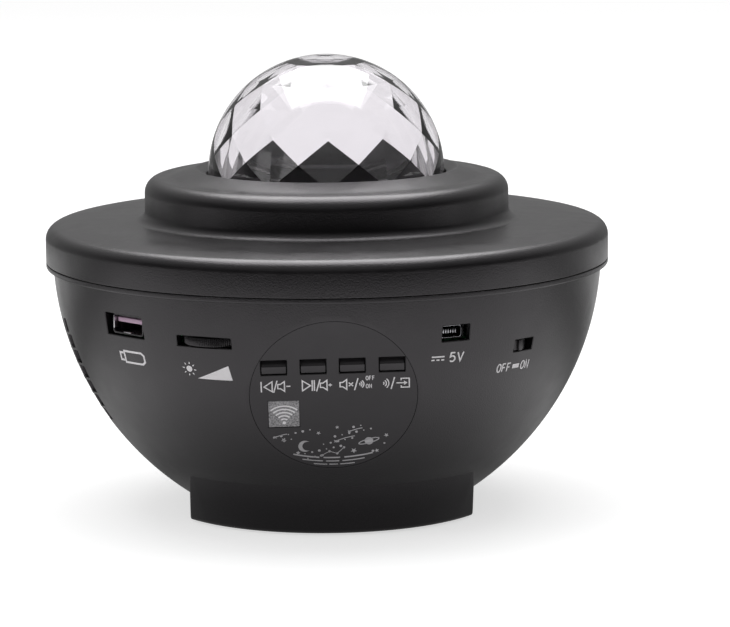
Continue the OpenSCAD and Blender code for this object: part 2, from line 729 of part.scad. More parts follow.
module switch_slider() {
    reach = bowl_r(switch_z) - switch_face_r;
    color([0.1, 0.1, 0.105]) around(switch_az, switch_face_r, switch_z)
        translate([-switch_travel / 2, 0, 0]) {
        block(4, 1.3, switch_depth - 1.4, switch_h - 2.2);
        block(2.6, -reach + 1.6, 2, 1.6);
        block(knob_w, -reach + 0.9, -reach + 2.4, knob_h);
        translate([0, -reach + 1, 0]) block(1.4, -0.9, 0.1, knob_h);
    }
}
module dimmer_wheel() {
    color([0.13, 0.13, 0.135]) around(wheel_az, wheel_axis_r, 0) {
        translate([0, 0, wheel_z]) difference() {
            cylinder(r = wheel_r, h = wheel_t, $fn = 96);
            for (a = [0:10:350]) rotate([0, 0, a]) translate([wheel_r + 0.35, 0, -1])
                cylinder(r = 0.65, h = wheel_t + 2, $fn = 16);
        }
        translate([0, 0, dimmer_z - dimmer_h + 0.6])
            cylinder(r = wheel_shaft_r, h = wheel_z - dimmer_z + dimmer_h, $fn = 48);
    }
}
// Body of the dimmer's potentiometer, with a foot under the edge of the main board
module dimmer_body() {
    color([0.25, 0.24, 0.2]) around(wheel_az, wheel_axis_r, 0) difference() {
        union() {
            translate([0, 0, dimmer_z - dimmer_h / 2]) block(dimmer_w, -4, 4, dimmer_h);
            translate([0, 0, main_z - 0.6])
                block(dimmer_w - 1, 3, wheel_axis_r - main_r1 + 5, 1.2);
        }
        translate([0, 0, dimmer_z - dimmer_h + 0.4])
            cylinder(r = wheel_shaft_r + slip, h = dimmer_h + 1, $fn = 48);
    }
}

// ---- Speaker ----

module speaker_basket() {
    back_y = speaker_y + basket_depth;
    color([0.3, 0.3, 0.32]) on_bowl(speaker_az, speaker_z) difference() {
        union() {
            translate([0, speaker_y, 0]) inwards() rotate_extrude($fn = 64)
                polygon([[speaker_r - 2.6, 0], [speaker_r, 0], [speaker_r, speaker_plate_t + 0.8],
                         [basket_back_r + 3, basket_depth], [basket_back_r + 1, basket_depth],
                         [speaker_r - 2.6, 2.2]]);
            translate([0, back_y - 1, 0]) inwards() difference() {
                cylinder(r = basket_back_r + 3, h = 1, $fn = 64);
                translate([0, 0, -1]) cylinder(r = coil_r + coil_gap + 1, h = 3, $fn = 64);
            }
            for (a = [45:90:315]) rotate([0, a, 0])
                translate([speaker_r - 1, speaker_y, -speaker_ear_w / 2])
                cube([speaker_ear_r - speaker_r + 3.4, speaker_plate_t, speaker_ear_w]);
        }
        for (a = [45:90:315]) rotate([0, a, 0]) {
            translate([speaker_ear_r, speaker_y - 1, 0]) inwards()
                cylinder(r = speaker_screw_r + 0.2, h = 4, $fn = 32);
            rotate([0, 45, 0]) translate([basket_back_r + 6.4, speaker_y + 5.4, 0])
                block(7, -2.6, 2.6, 9);
        }
    }
}
module speaker_magnet() {
    color([0.28, 0.28, 0.29]) on_bowl(speaker_az, speaker_z)
        translate([0, speaker_y + basket_depth, 0]) inwards() rotate_extrude($fn = 64) polygon([
            [0, magnet_h + 1.4], [0, -1.2], [coil_r - 0.3 - coil_gap, -1.2],
            [coil_r - 0.3 - coil_gap, magnet_h - 0.6], [coil_r + coil_gap, magnet_h - 0.6],
            [coil_r + coil_gap, 0], [magnet_r, 0], [magnet_r, magnet_h + 1.4]]);
}
module speaker_surround() {
    color([0.1, 0.1, 0.1]) on_bowl(speaker_az, speaker_z) translate([0, speaker_y, 0]) inwards()
        rotate_extrude($fn = 64) polygon([[speaker_r - 2.6, 1], [speaker_r - 2.6, 0.5],
            [speaker_r - 3.6, -0.4], [cone_r + 0.9, -0.4], [cone_r + 0.3, 0.5], [cone_r + 0.3, 1]]);
}
// Paper cone with its dust cap and voice coil
module speaker_cone() {
    color([0.16, 0.15, 0.15]) on_bowl(speaker_az, speaker_z) translate([0, speaker_y, 0])
        inwards() rotate_extrude($fn = 64) polygon([
            [0, 3.4], [coil_r - 2.5, 4.1], [coil_r, 5.8], [cone_r, 1.2], [cone_r, 1.7],
            [coil_r, 6.5], [coil_r, basket_depth + magnet_h - 3],
            [coil_r - 0.3, basket_depth + magnet_h - 3], [coil_r - 0.3, 6.4],
            [coil_r - 2.7, 4.5], [0, 3.8]]);
}
module speaker_screws() {
    color("silver") on_bowl(speaker_az, speaker_z) for (a = [45:90:315]) rotate([0, a, 0])
        translate([speaker_ear_r, speaker_y + speaker_plate_t, 0]) rotate([90, 0, 0])
        screw(speaker_screw_r, 4, 2.1, 1);
}
lead_r = 0.6;
// A tube of radius r along the points p
module wire(p, r) {
    sides = 8;
    n = len(p);
    function ring(i) = let (d = unit(p[min(i + 1, n - 1)] - p[max(i - 1, 0)]),
        side = unit(cross(d, abs(d[2]) > 0.9 ? [1, 0, 0] : [0, 0, 1])), up = cross(side, d))
        [for (k = [0:sides - 1]) p[i] + r * (side * cos(k * 360 / sides) + up * sin(k * 360 / sides))];
    polyhedron(points = [for (i = [0:n - 1]) each ring(i)],
        faces = concat([[for (k = [0:sides - 1]) k]],
            [for (i = [0:n - 2], k = [0:sides - 1])
                let (a = i * sides + k, b = i * sides + (k + 1) % sides) [a, a + sides, b + sides, b]],
            [[for (k = [sides - 1:-1:0]) (n - 1) * sides + k]]));
}
first_lead = [[-64.2, 9, 63.2], [-62, 7, 65], [-58, -2, 66], [-53, -14, 65.5], [-51, -21, 63],
              [-50.6, -24.5, 61.6]];
second_lead = [[-63.2, 11.6, 63.2], [-60.2, 9, 66], [-56.2, -1, 67], [-51, -13, 66.5],
               [-48.8, -20, 64], [-48.4, -23.4, 61.6]];
module speaker_leads() {
    color([0.6, 0.1, 0.1]) for (lead = [first_lead, second_lead]) wire(lead, lead_r);
}

// ---- Light engine ----

module optics_deck() {
    color([0.18, 0.18, 0.18]) translate([0, 0, deck_z]) difference() {
        cylinder(r = deck_r, h = deck_t, $fn = 96);
        for (a = [45:90:315]) rotate([0, 0, a]) translate([deck_post_r, 0, -1])
            cylinder(r = deck_screw_r + 0.2, h = deck_t + 2, $fn = 32);
        translate([0, lens_y, -1]) cylinder(r = holder_r + cut, h = deck_t + 2, $fn = 64);
        translate([0, laser_y, -1]) cylinder(r = tube_r + cut / 2, h = deck_t + 2, $fn = 48);
        translate([0, motor_y, -1]) cylinder(r = 2.4, h = deck_t + 2, $fn = 32);
        for (x = [-1, 1]) translate([x * (motor_r + 2.6), motor_y, -1])
            cylinder(r = 0.95, h = deck_t + 2, $fn = 32);
        for (a = [-90, 30, 150]) rotate([0, 0, a]) translate([cup_flange_r - 1.9, 0, -1])
            cylinder(r = 0.95, h = deck_t + 2, $fn = 32);
        for (a = [180, 270]) translate([0, lens_y, -1]) rotate([0, 0, a])
            translate([holder_flange_r - 1.5, 0, 0]) cylinder(r = 0.85, h = deck_t + 2, $fn = 32);
    }
}
module deck_screws() {
    color("silver") for (a = [45:90:315]) rotate([0, 0, a]) translate([deck_post_r, 0, deck_z])
        screw(deck_screw_r, 10, 2.8, 1.6);
}
// Black cup that shields the dome's lowest facets and carries the ripple disc on its ledge
module black_cup() {
    window_h = pinion_z + pinion_h + 1 - deck_top_z;
    color([0.05, 0.05, 0.05]) translate([0, 0, deck_top_z]) difference() {
        union() {
            rotate_extrude($fn = 96) polygon([[cup_r, 0], [cup_flange_r, 0], [cup_flange_r, 1.6],
                [cup_r + cup_t, 1.6], [cup_r + cup_t, cup_top_z - deck_top_z],
                [cup_r, cup_top_z - deck_top_z], [cup_r, ledge_z + ledge_t - deck_top_z],
                [cup_r - 5, ledge_z + ledge_t - deck_top_z], [cup_r - 5, ledge_z - deck_top_z],
                [cup_r, ledge_z - deck_top_z]]);
            for (a = [-45, 75, 195]) rotate([0, 0, a])
                rotate_extrude(angle = 14, $fn = 96)
                translate([disc_pitch_r, disc_z + disc_t + 0.5 - deck_top_z])
                square([cup_r + 0.5 - disc_pitch_r, 1.2]);
        }
        translate([0, motor_y, 0]) block(pinion_pitch_r * 3, -8, 8, 2 * window_h);
        for (a = [-90, 30, 150]) rotate([0, 0, a]) translate([cup_flange_r - 1.9, 0, -1])
            cylinder(r = 1.2, h = 4, $fn = 32);
    }
}
module cup_screws() {
    color("silver") for (a = [-90, 30, 150]) rotate([0, 0, a])
        translate([cup_flange_r - 1.9, 0, deck_top_z + 1.6]) rotate([180, 0, 0])
        screw(0.9, 3.2, 1.7, 0.9);
}
module ripple_disc() {
    color([0.8, 0.85, 0.95, 0.6]) translate([0, 0, disc_z]) difference() {
        rotate([0, 0, 90]) gear(disc_teeth, disc_t);
        translate([0, 0, disc_t - 0.6]) cylinder(r = disc_pitch_r - 2.4, h = 1, $fn = 96);
        for (r = [4:4:16], a = [0:45:315]) rotate([0, 0, a + r * 5])
            translate([r, 0, -1.2]) sphere(r = 1.7, $fn = 24);
    }
}
module grating_wheel() {
    color([0.85, 0.85, 0.88]) translate([0, laser_y, grating_z]) {
        difference() {
            union() {
                rotate([0, 0, 90]) gear(grating_teeth, grating_t);
                cylinder(r = tube_r + 1.8, h = grating_t + 2.4, $fn = 48);
            }
            translate([0, 0, -1]) cylinder(r = tube_r + slip, h = grating_t + 5, $fn = 48);
            translate([0, 0, grating_t + 0.2]) cylinder(r = tube_r + 0.8, h = 1.2, $fn = 48);
        }
        translate([0, 0, grating_t + 1.9]) cylinder(r = tube_r + 1, h = 0.5, $fn = 48);
    }
}
module drive_pinion() {
    color([0.9, 0.9, 0.86]) translate([0, motor_y, pinion_z]) difference() {
        rotate([0, 0, -90 + 180 / pinion_teeth]) gear(pinion_teeth, pinion_h);
        translate([0, 0, -1]) cylinder(r = shaft_r + 0.02, h = pinion_h - 1, $fn = 48);
    }
}
module motor_shaft() {
    color("silver") translate([0, motor_y, deck_z - 7])
        cylinder(r = shaft_r, h = pinion_z + pinion_h - 2.4 - deck_z + 7, $fn = 48);
}
module disc_motor() {
    color([0.75, 0.75, 0.77]) translate([0, motor_y, deck_z - motor_ear_t]) difference() {
        union() {
            translate([0, 0, -motor_h]) cylinder(r = motor_r, h = motor_h, $fn = 64);
            translate([0, 0, motor_ear_t / 2])
                block(2 * motor_r + 9, -3, 3, motor_ear_t);
        }
        translate([0, 0, motor_ear_t - 9]) cylinder(r = shaft_r + slip, h = 10, $fn = 48);
        for (x = [-1, 1]) translate([x * (motor_r + 2.6), 0, -1])
            cylinder(r = 1.1, h = motor_ear_t + 2, $fn = 32);
    }
}
module motor_screws() {
    color("silver") for (x = [-1, 1])
        translate([x * (motor_r + 2.6), motor_y, deck_z - motor_ear_t])
        screw(0.9, 2.8, 1.6, 0.8);
}
module laser_module() {
    color([0.8, 0.65, 0.3]) translate([0, laser_y, deck_z - laser_len + 2]) difference() {
        cylinder(r = laser_r, h = laser_len, $fn = 48);
        translate([0, 0, laser_len - 2]) cylinder(r = laser_r * 0.5, h = 3, $fn = 32);
    }
}
// Tube that clamps the laser module and carries the grating wheel on its collar
module laser_tube() {
    top = grating_z + grating_t + 0.4 - deck_z;
    color([0.15, 0.15, 0.16]) translate([0, laser_y, deck_z]) difference() {
        rotate_extrude($fn = 64) polygon([[laser_r + slip, -13], [tube_r, -13], [tube_r, deck_t],
            [tube_r + 1.6, deck_t], [tube_r + 1.6, deck_t + collar_h], [tube_r, deck_t + collar_h],
            [tube_r, top], [tube_r + 0.5, top + 0.1], [tube_r, top + 0.7],
            [laser_r * 0.6, top + 0.7], [laser_r * 0.6, top - 1], [laser_r + slip, top - 1]]);
        translate([0, 0, -8]) rotate([-90, 0, 0]) cylinder(r = 0.8, h = laser_r + 3, $fn = 24);
    }
}
module lens_holder() {
    color([0.09, 0.09, 0.09]) translate([0, lens_y, 0]) difference() {
        rotate_extrude($fn = 96) polygon([
            [led_board_r + 0.3, sink_top_z], [holder_flange_r, sink_top_z],
            [holder_flange_r, sink_top_z + holder_flange_t], [holder_r, sink_top_z + holder_flange_t],
            [holder_r, deck_z - holder_flange_t], [holder_flange_r, deck_z - holder_flange_t],
            [holder_flange_r, deck_z], [holder_r, deck_z], [holder_r, deck_top_z + 1],
            [lens_r + 0.05, deck_top_z + 1], [lens_r + 0.05, lens_z],
            [lens_r - 0.9, lens_z], [lens_r - 0.9, sink_top_z + 4],
            [led_board_r + 0.3, sink_top_z + 4]]);
        for (a = [180, 270]) rotate([0, 0, a]) translate([holder_flange_r - 1.5, 0, deck_z - 3])
            cylinder(r = 1, h = 4, $fn = 32);
        for (a = [30, 150, 270]) rotate([0, 0, a])
            translate([holder_flange_r - 1.5, 0, sink_top_z - 1]) cylinder(r = 1, h = 4, $fn = 32);
        // Way out for the leads of the LED board
        translate([-holder_r, 0, sink_top_z + holder_flange_t + 1.2]) block(8, -1.5, 1.5, 2.4);
    }
}
module holder_screws() {
    color("silver") translate([0, lens_y, 0]) {
        for (a = [180, 270]) rotate([0, 0, a])
            translate([holder_flange_r - 1.5, 0, deck_z - holder_flange_t])
            screw(0.8, 3.6, 1.4, 0.9);
        for (a = [30, 150, 270]) rotate([0, 0, a])
            translate([holder_flange_r - 1.5, 0, sink_top_z + holder_flange_t])
            rotate([180, 0, 0]) screw(0.8, 6, 1.4, 0.9);
    }
}
// Plano-convex lens, flat side down
module condenser_lens() {
    bulge_r = (pow(lens_r, 2) + pow(lens_t - 1.5, 2)) / (2 * (lens_t - 1.5));
    color([0.85, 0.9, 0.95, 0.4]) translate([0, lens_y, lens_z]) intersection() {
        cylinder(r = lens_r, h = lens_t, $fn = 96);
        translate([0, 0, lens_t - bulge_r]) sphere(r = bulge_r, $fn = 96);
    }
}
module led_board() {
    color([0.9, 0.9, 0.9]) translate([0, lens_y, sink_top_z])
        cylinder(r = led_board_r, h = board_t, $fn = 96);
}
module led_chips() {
    color([0.95, 0.85, 0.3]) translate([0, lens_y, sink_top_z + board_t])
        for (x = [-2.4, 2.4], y = [-2.4, 2.4]) translate([x, y, 0.5])
        block(3.4, -1.7, 1.7, 1);
}
module heat_sink() {
    fin_pitch = 2 * sink_r / (sink_fins + 0.5);
    color([0.7, 0.7, 0.72]) translate([0, lens_y, sink_top_z - sink_h]) difference() {
        cylinder(r = sink_r, h = sink_h, $fn = 96);
        for (i = [0:sink_fins - 2])
            translate([(i - (sink_fins - 2) / 2) * fin_pitch, 0, (sink_h - 4) / 2 - 1])
            block(fin_pitch * 0.58, -sink_r - 1, sink_r + 1, sink_h - 2);
        for (a = [30, 150, 270]) rotate([0, 0, a])
            translate([holder_flange_r - 1.5, 0, sink_h - 4.4])
            cylinder(r = 0.8 + slip, h = 6, $fn = 32);
    }
}

// Leads from the main board to the motor, the laser and the LED board
motor_lead = [[-2, 29, 60.4], [-8, 34, 57], [-24, 30, 55], [-38, 12, 56], [-44, -8, 61],
              [-45.6, -18, 63], [-46.6, -24.8, 61.6]];
laser_lead = [[0, 16.8, 59.4], [-5, 18, 56.6], [-20, 17, 54], [-34, 4, 57], [-41, -12, 62],
              [-43, -21, 63], [-44, -26.8, 61.6]];
led_lead = [[-8.6, -5, 64.3], [-12, -5, 65.2], [-17, -5, 65.4], [-27, -14, 66], [-38, -26, 64],
            [-42, -31, 61.5]];
module engine_leads() {
    color([0.75, 0.7, 0.2]) for (lead = [motor_lead, laser_lead, led_lead])
        wire(lead, lead_r);
}

// ---- Nodes ----

bowl_shell();
top_cover();
dome_cover();
base_foot();
rubber_feet();
foot_screws();
control_panel();
receiver_window();
ir_receiver();
button_previous();
button_next();
button_mute();
button_source();
button_plungers_1();
button_plungers_2();
button_plungers_3();
button_plungers_4();
tact_switches();
button_board();
button_board_screws();
panel_ribbon();
main_board();
main_board_screws();
board_chips();
board_capacitors();
wireless_module();
usb_shell();
usb_tongue();
usb_contacts();
dc_shell();
dc_tongue();
switch_body();
switch_slider();
dimmer_wheel();
dimmer_body();
speaker_basket();
speaker_magnet();
speaker_surround();
speaker_cone();
speaker_screws();
speaker_leads();
optics_deck();
deck_screws();
black_cup();
cup_screws();
ripple_disc();
grating_wheel();
drive_pinion();
motor_shaft();
disc_motor();
motor_screws();
laser_module();
laser_tube();
lens_holder();
holder_screws();
condenser_lens();
led_board();
led_chips();
heat_sink();
engine_leads();
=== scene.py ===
import json
import math
import bmesh
import bpy
from mathutils import Matrix, Vector


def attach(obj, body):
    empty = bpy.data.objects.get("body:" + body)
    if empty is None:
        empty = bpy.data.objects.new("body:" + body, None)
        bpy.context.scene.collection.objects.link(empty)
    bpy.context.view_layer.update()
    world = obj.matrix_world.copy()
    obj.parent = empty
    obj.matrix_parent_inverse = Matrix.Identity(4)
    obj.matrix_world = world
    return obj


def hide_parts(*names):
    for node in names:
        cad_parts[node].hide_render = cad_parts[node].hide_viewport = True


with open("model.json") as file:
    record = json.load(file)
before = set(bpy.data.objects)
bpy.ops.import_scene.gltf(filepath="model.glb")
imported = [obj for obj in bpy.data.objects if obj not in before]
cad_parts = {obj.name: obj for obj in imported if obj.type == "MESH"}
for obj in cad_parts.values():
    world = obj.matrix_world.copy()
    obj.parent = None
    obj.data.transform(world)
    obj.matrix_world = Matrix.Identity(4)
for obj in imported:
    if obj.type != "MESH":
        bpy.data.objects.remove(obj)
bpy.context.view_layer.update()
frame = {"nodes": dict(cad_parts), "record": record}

# Shapes are drawn in millimetres and made metres when a piece is finished
mm = 0.001
nodes = frame["nodes"]
bodyOf = {n: b for b, group in frame["record"]["behaviour"]["bodies"].items() for n in group}

bowl = {
    "curveR": 87.9, "curveZ": 78.5, "curveBack": 5.35, "wall": 2.2, "floorZ": 3.0,
    "seamZ": 75.3, "lipDrop": 1.5, "lipRound": 0.5, "steps": 240, "arcPoints": 46,
    "edge": 0.22, "cutDepth": 9, "cutCorner": 0.35,
}
camera = {"turn": 1.1, "back": 1.15, "height": 0.24222, "yaw": 0.00977, "pitch": 9.1175,
          "roll": -0.00909, "lens": 189.77}


def shift(x, y, z):
    return Matrix.Translation((x, y, z))


def makeCamera():
    data = bpy.data.cameras.new("camera")
    data.lens, data.sensor_width = camera["lens"], 36
    data.clip_start, data.clip_end = 0.05, 50
    cam = bpy.data.objects.new("camera", data)
    bpy.context.scene.collection.objects.link(cam)
    turned = Matrix.Rotation(math.radians(-camera["turn"]), 4, "Z")
    cam.matrix_world = (turned @ shift(0, -camera["back"], camera["height"])
                        @ Matrix.Rotation(-camera["yaw"], 4, "Z")
                        @ Matrix.Rotation(math.radians(90 - camera["pitch"]), 4, "X")
                        @ Matrix.Rotation(camera["roll"], 4, "Z"))
    bpy.context.scene.camera = cam


makeCamera()
print("camera ready")


# Places round the bowl: az is an angle from the front, seen from above
def bowlRadius(z, inset=0.0):
    return math.sqrt((bowl["curveR"] - inset) ** 2 - (z - bowl["curveZ"]) ** 2) - bowl["curveBack"]


def around(az, r=0.0, z=0.0):
    return Matrix.Rotation(math.radians(az), 4, "Z") @ shift(0, -r, z)


def onBowl(az, z):
    tilt = math.asin((bowl["curveZ"] - z) / bowl["curveR"])
    return around(az, bowlRadius(z), z) @ Matrix.Rotation(tilt, 4, "X")


def bowlArc(inset, z0, z1, count):
    r = bowl["curveR"] - inset
    a0, a1 = (math.asin((z - bowl["curveZ"]) / r) for z in (z0, z1))
    angles = [a0 + (a1 - a0) * i / count for i in range(count + 1)]
    return [(r * math.cos(a) - bowl["curveBack"], bowl["curveZ"] + r * math.sin(a)) for a in angles]


# Lays a shape drawn in X and Z onto the bowl; its Y becomes depth under the surface
def drape(bm, place):
    inward = (place.to_3x3() @ Vector((0, 1, 0))).normalized()
    for v in bm.verts:
        start = place @ Vector((v.co.x, 0, v.co.z))
        t = 0.0
        for _ in range(12):
            p = start + inward * t
            gap = math.hypot(p.x, p.y) - bowlRadius(p.z)
            slope = (p.x * inward.x + p.y * inward.y) / math.hypot(p.x, p.y)
            slope -= inward.z * (bowl["curveZ"] - p.z) / (bowlRadius(p.z) + bowl["curveBack"])
            t -= gap / slope
        v.co = start + inward * (t + v.co.y)


def bevel(bm, geom, width, segments=2, affect="EDGES", clamp=False):
    bmesh.ops.bevel(bm, geom=geom, affect=affect, offset=width, segments=segments, profile=0.5,
                    material=-1, clamp_overlap=clamp)


def faceOutwards(bm):
    bmesh.ops.recalc_face_normals(bm, faces=bm.faces)


def rod(r, length, segments=48):
    bm = bmesh.new()
    bmesh.ops.create_cone(bm, cap_ends=True, segments=segments, radius1=r, radius2=r, depth=length)
    return bm


# A wire through (r, z) or (r, z, cut) points, where cut rounds the corner that far back
def profile(points, segments=6):
    bm = bmesh.new()
    verts = [bm.verts.new((p[0], 0, p[1])) for p in points]
    for a, b in zip(verts, verts[1:] + verts[:1]):
        bm.edges.new((a, b))
    for v, p in zip(verts, points):
        if len(p) > 2:
            bevel(bm, [v], p[2], segments, "VERTICES")
    return bm


def lathe(bm, steps):
    bmesh.ops.spin(bm, geom=bm.verts[:] + bm.edges[:], cent=(0, 0, 0), axis=(0, 0, 1),
                   angle=math.radians(360), steps=steps, use_merge=True)
    bmesh.ops.remove_doubles(bm, verts=bm.verts, dist=0.0004)
    bmesh.ops.delete(bm, geom=[e for e in bm.edges if e.is_wire], context="EDGES")
    faceOutwards(bm)
    return bm


# A box centred on X and Z between depths y0 and y1, with its edges rounded
def block(w, y0, y1, h, edge):
    bm = bmesh.new()
    bmesh.ops.create_cube(bm, size=1)
    bmesh.ops.scale(bm, vec=(w, y1 - y0, h), verts=bm.verts)
    bmesh.ops.translate(bm, vec=(0, (y0 + y1) / 2, 0), verts=bm.verts)
    roundEdges(bm, edge, 30, 2)
    return bm


def roundEdges(bm, width, over, segments):
    sharp = [e for e in bm.edges if e.is_manifold and e.calc_face_angle(0) > math.radians(over)]
    bevel(bm, sharp, width, segments, clamp=True)


# A cutter for an opening: straight below the surface, opening out at its edge
def notch(w, h, depth, edge, corner=0.0):
    bm = bmesh.new()
    bmesh.ops.create_grid(bm, x_segments=1, y_segments=1, size=0.5)
    bmesh.ops.scale(bm, vec=(w, h, 1), verts=bm.verts)
    bmesh.ops.rotate(bm, matrix=Matrix.Rotation(math.radians(90), 3, "X"), verts=bm.verts)
    if corner:
        bevel(bm, bm.verts[:], corner, 4, "VERTICES")
    cutEvery(bm, 2.0)
    bmesh.ops.translate(bm, vec=(0, depth, 0), verts=bm.verts)
    outline = [e for e in bm.edges if e.is_boundary]
    for level, grow in ((edge, 0.0), (-edge * 0.2, edge * 1.2), (-2.5, edge * 1.2)):
        made = bmesh.ops.extrude_edge_only(bm, edges=outline)["geom"]
        ring = [g for g in made if isinstance(g, bmesh.types.BMVert)]
        for v in ring:
            v.co.y = level
        bmesh.ops.scale(bm, vec=((w / 2 + grow) / max(abs(v.co.x) for v in ring), 1,
                                 (h / 2 + grow) / max(abs(v.co.z) for v in ring)), verts=ring)
        outline = [g for g in made if isinstance(g, bmesh.types.BMEdge) and g.is_boundary]
    bmesh.ops.holes_fill(bm, edges=outline)
    cutEvery(bm, 2.0)
    faceOutwards(bm)
    return bm


# Slices a mesh on planes across X and Z, so that it can bend
def cutEvery(bm, step):
    for axis in ((1, 0, 0), (0, 0, 1)):
        reach = [Vector(axis).dot(v.co) for v in bm.verts]
        low, high = min(reach), max(reach)
        count = max(1, math.ceil((high - low) / step))
        for i in range(1, count):
            place = Vector(axis) * (low + (high - low) * i / count)
            bmesh.ops.bisect_plane(bm, geom=bm.verts[:] + bm.edges[:] + bm.faces[:], dist=1e-5,
                                   plane_co=place, plane_no=axis)


def join(*shapes):
    whole = bmesh.new()
    for bm in shapes:
        mesh = bpy.data.meshes.new("part")
        bm.to_mesh(mesh)
        bm.free()
        whole.from_mesh(mesh)
        bpy.data.meshes.remove(mesh)
    return whole


def placed(bm, matrix):
    bm.transform(matrix)
    return bm


# Thickens a flat shape
def pushed(bm, depth):
    made = bmesh.ops.extrude_face_region(bm, geom=bm.faces[:], use_keep_orig=True)["geom"]
    bmesh.ops.translate(bm, vec=depth, verts=[g for g in made if isinstance(g, bmesh.types.BMVert)])
    faceOutwards(bm)
    return bm


def smoothByAngle(mesh, angle):
    for face in mesh.polygons:
        face.use_smooth = True
    mesh.set_sharp_from_angle(angle=math.radians(angle))


def newObject(name, bm):
    bmesh.ops.scale(bm, vec=(mm, mm, mm), verts=bm.verts)
    mesh = bpy.data.meshes.new(name)
    bm.to_mesh(mesh)
    bm.free()
    obj = bpy.data.objects.new(name, mesh)
    bpy.context.scene.collection.objects.link(obj)
    return obj


def bake(obj):
    graph = bpy.context.evaluated_depsgraph_get()
    mesh = bpy.data.meshes.new_from_object(obj.evaluated_get(graph))
    old = obj.data
    obj.modifiers.clear()
    obj.data = mesh
    bpy.data.meshes.remove(old)


# Cuts a shape drawn in mm out of a finished object, or joins it on
def carve(obj, bm, way="DIFFERENCE"):
    tool = newObject("tool", bm)
    cut = obj.modifiers.new("cut", "BOOLEAN")
    cut.operation, cut.solver, cut.object = way, "EXACT", tool
    bake(obj)
    bpy.data.objects.remove(tool)


def finishPiece(obj, material, body, replaced=(), angle=32.0):
    obj.data.materials.clear()
    obj.data.materials.append(material)
    if angle:
        smoothByAngle(obj.data, angle)
    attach(obj, body)
    if replaced:
        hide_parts(*replaced)


def makePiece(name, bm, material, body, replaced=(), angle=32.0):
    finishPiece(newObject(name, bm), material, body, replaced, angle)


# Materials read each piece's own coordinates in metres
def startMaterial(name):
    material = bpy.data.materials.new(name)
    material.use_nodes = True
    tree = material.node_tree
    place = tree.nodes.new("ShaderNodeTexCoord")
    return material, tree, tree.nodes["Principled BSDF"], place.outputs["Object"]


def link(tree, output, socket):
    tree.links.new(output, socket)


def addNoise(tree, place, scale, detail=3.0, stretch=None):
    noise = tree.nodes.new("ShaderNodeTexNoise")
    noise.inputs["Scale"].default_value = scale
    noise.inputs["Detail"].default_value = detail
    if stretch:
        mapping = tree.nodes.new("ShaderNodeMapping")
        mapping.inputs["Scale"].default_value = stretch
        link(tree, place, mapping.inputs["Vector"])
        place = mapping.outputs["Vector"]
    link(tree, place, noise.inputs["Vector"])
    return noise.outputs["Fac"]


def addRamp(tree, value, stops):
    ramp = tree.nodes.new("ShaderNodeValToRGB")
    points = ramp.color_ramp.elements
    while len(points) < len(stops):
        points.new(0.5)
    for point, (where, shade) in zip(points, stops):
        point.position = where
        point.color = (*shade, 1) if len(shade) == 3 else shade
    link(tree, value, ramp.inputs["Fac"])
    return ramp.outputs["Color"]


def addRange(tree, value, low, high, fromLow=0.3, fromHigh=0.7):
    node = tree.nodes.new("ShaderNodeMapRange")
    for key, number in (("From Min", fromLow), ("From Max", fromHigh), ("To Min", low),
                        ("To Max", high)):
        node.inputs[key].default_value = number
    link(tree, value, node.inputs["Value"])
    return node.outputs["Result"]


def addBump(tree, shader, height, strength, distance):
    bump = tree.nodes.new("ShaderNodeBump")
    bump.inputs["Strength"].default_value = strength
    bump.inputs["Distance"].default_value = distance
    link(tree, height, bump.inputs["Height"])
    link(tree, bump.outputs["Normal"], shader.inputs["Normal"])


def setInputs(shader, **values):
    for key, value in values.items():
        shader.inputs[key.replace("_", " ")].default_value = value


# Moulded plastic with a fine spark-eroded grain, uneven gloss and a slight blotch of colour
def mouldedPlastic(name, dark, light, gloss=(0.38, 0.5), grain=2600, depth=0.00005, strength=0.6,
                   specular=0.4, speckle=45):
    material, tree, shader, place = startMaterial(name)
    blotch = addNoise(tree, place, speckle, 4)
    link(tree, addRamp(tree, blotch, [(0.3, dark), (0.7, light)]), shader.inputs["Base Color"])
    fine = addNoise(tree, place, grain, 2)
    smear = addNoise(tree, place, 130, 5)
    link(tree, addRange(tree, smear, *gloss), shader.inputs["Roughness"])
    addBump(tree, shader, fine, strength, depth)
    setInputs(shader, Specular_IOR_Level=specular, IOR=1.5, Specular_Tint=(1.0, 0.955, 1.0, 1.0))
    return material


def metal(name, dark, light, rough=(0.22, 0.4)):
    material, tree, shader, place = startMaterial(name)
    streak = addNoise(tree, place, 1.0, 4, (900, 900, 60))
    link(tree, addRamp(tree, streak, [(0.3, dark), (0.7, light)]), shader.inputs["Base Color"])
    link(tree, addRange(tree, streak, *rough), shader.inputs["Roughness"])
    addBump(tree, shader, streak, 0.3, 0.00001)
    setInputs(shader, Metallic=1.0)
    return material


def clearPlastic(name, tint, ior=1.49, ripple=0.0):
    material, tree, shader, place = startMaterial(name)
    haze = addNoise(tree, place, 60, 5)
    stops = [(0.3, tint), (0.7, [min(1, c * 1.01) for c in tint])]
    link(tree, addRamp(tree, haze, stops), shader.inputs["Base Color"])
    link(tree, addRange(tree, haze, 0.0, 0.03), shader.inputs["Roughness"])
    setInputs(shader, Transmission_Weight=1.0, IOR=ior)
    if ripple:
        addBump(tree, shader, addNoise(tree, place, 220, 2), 0.4, ripple)
    return material


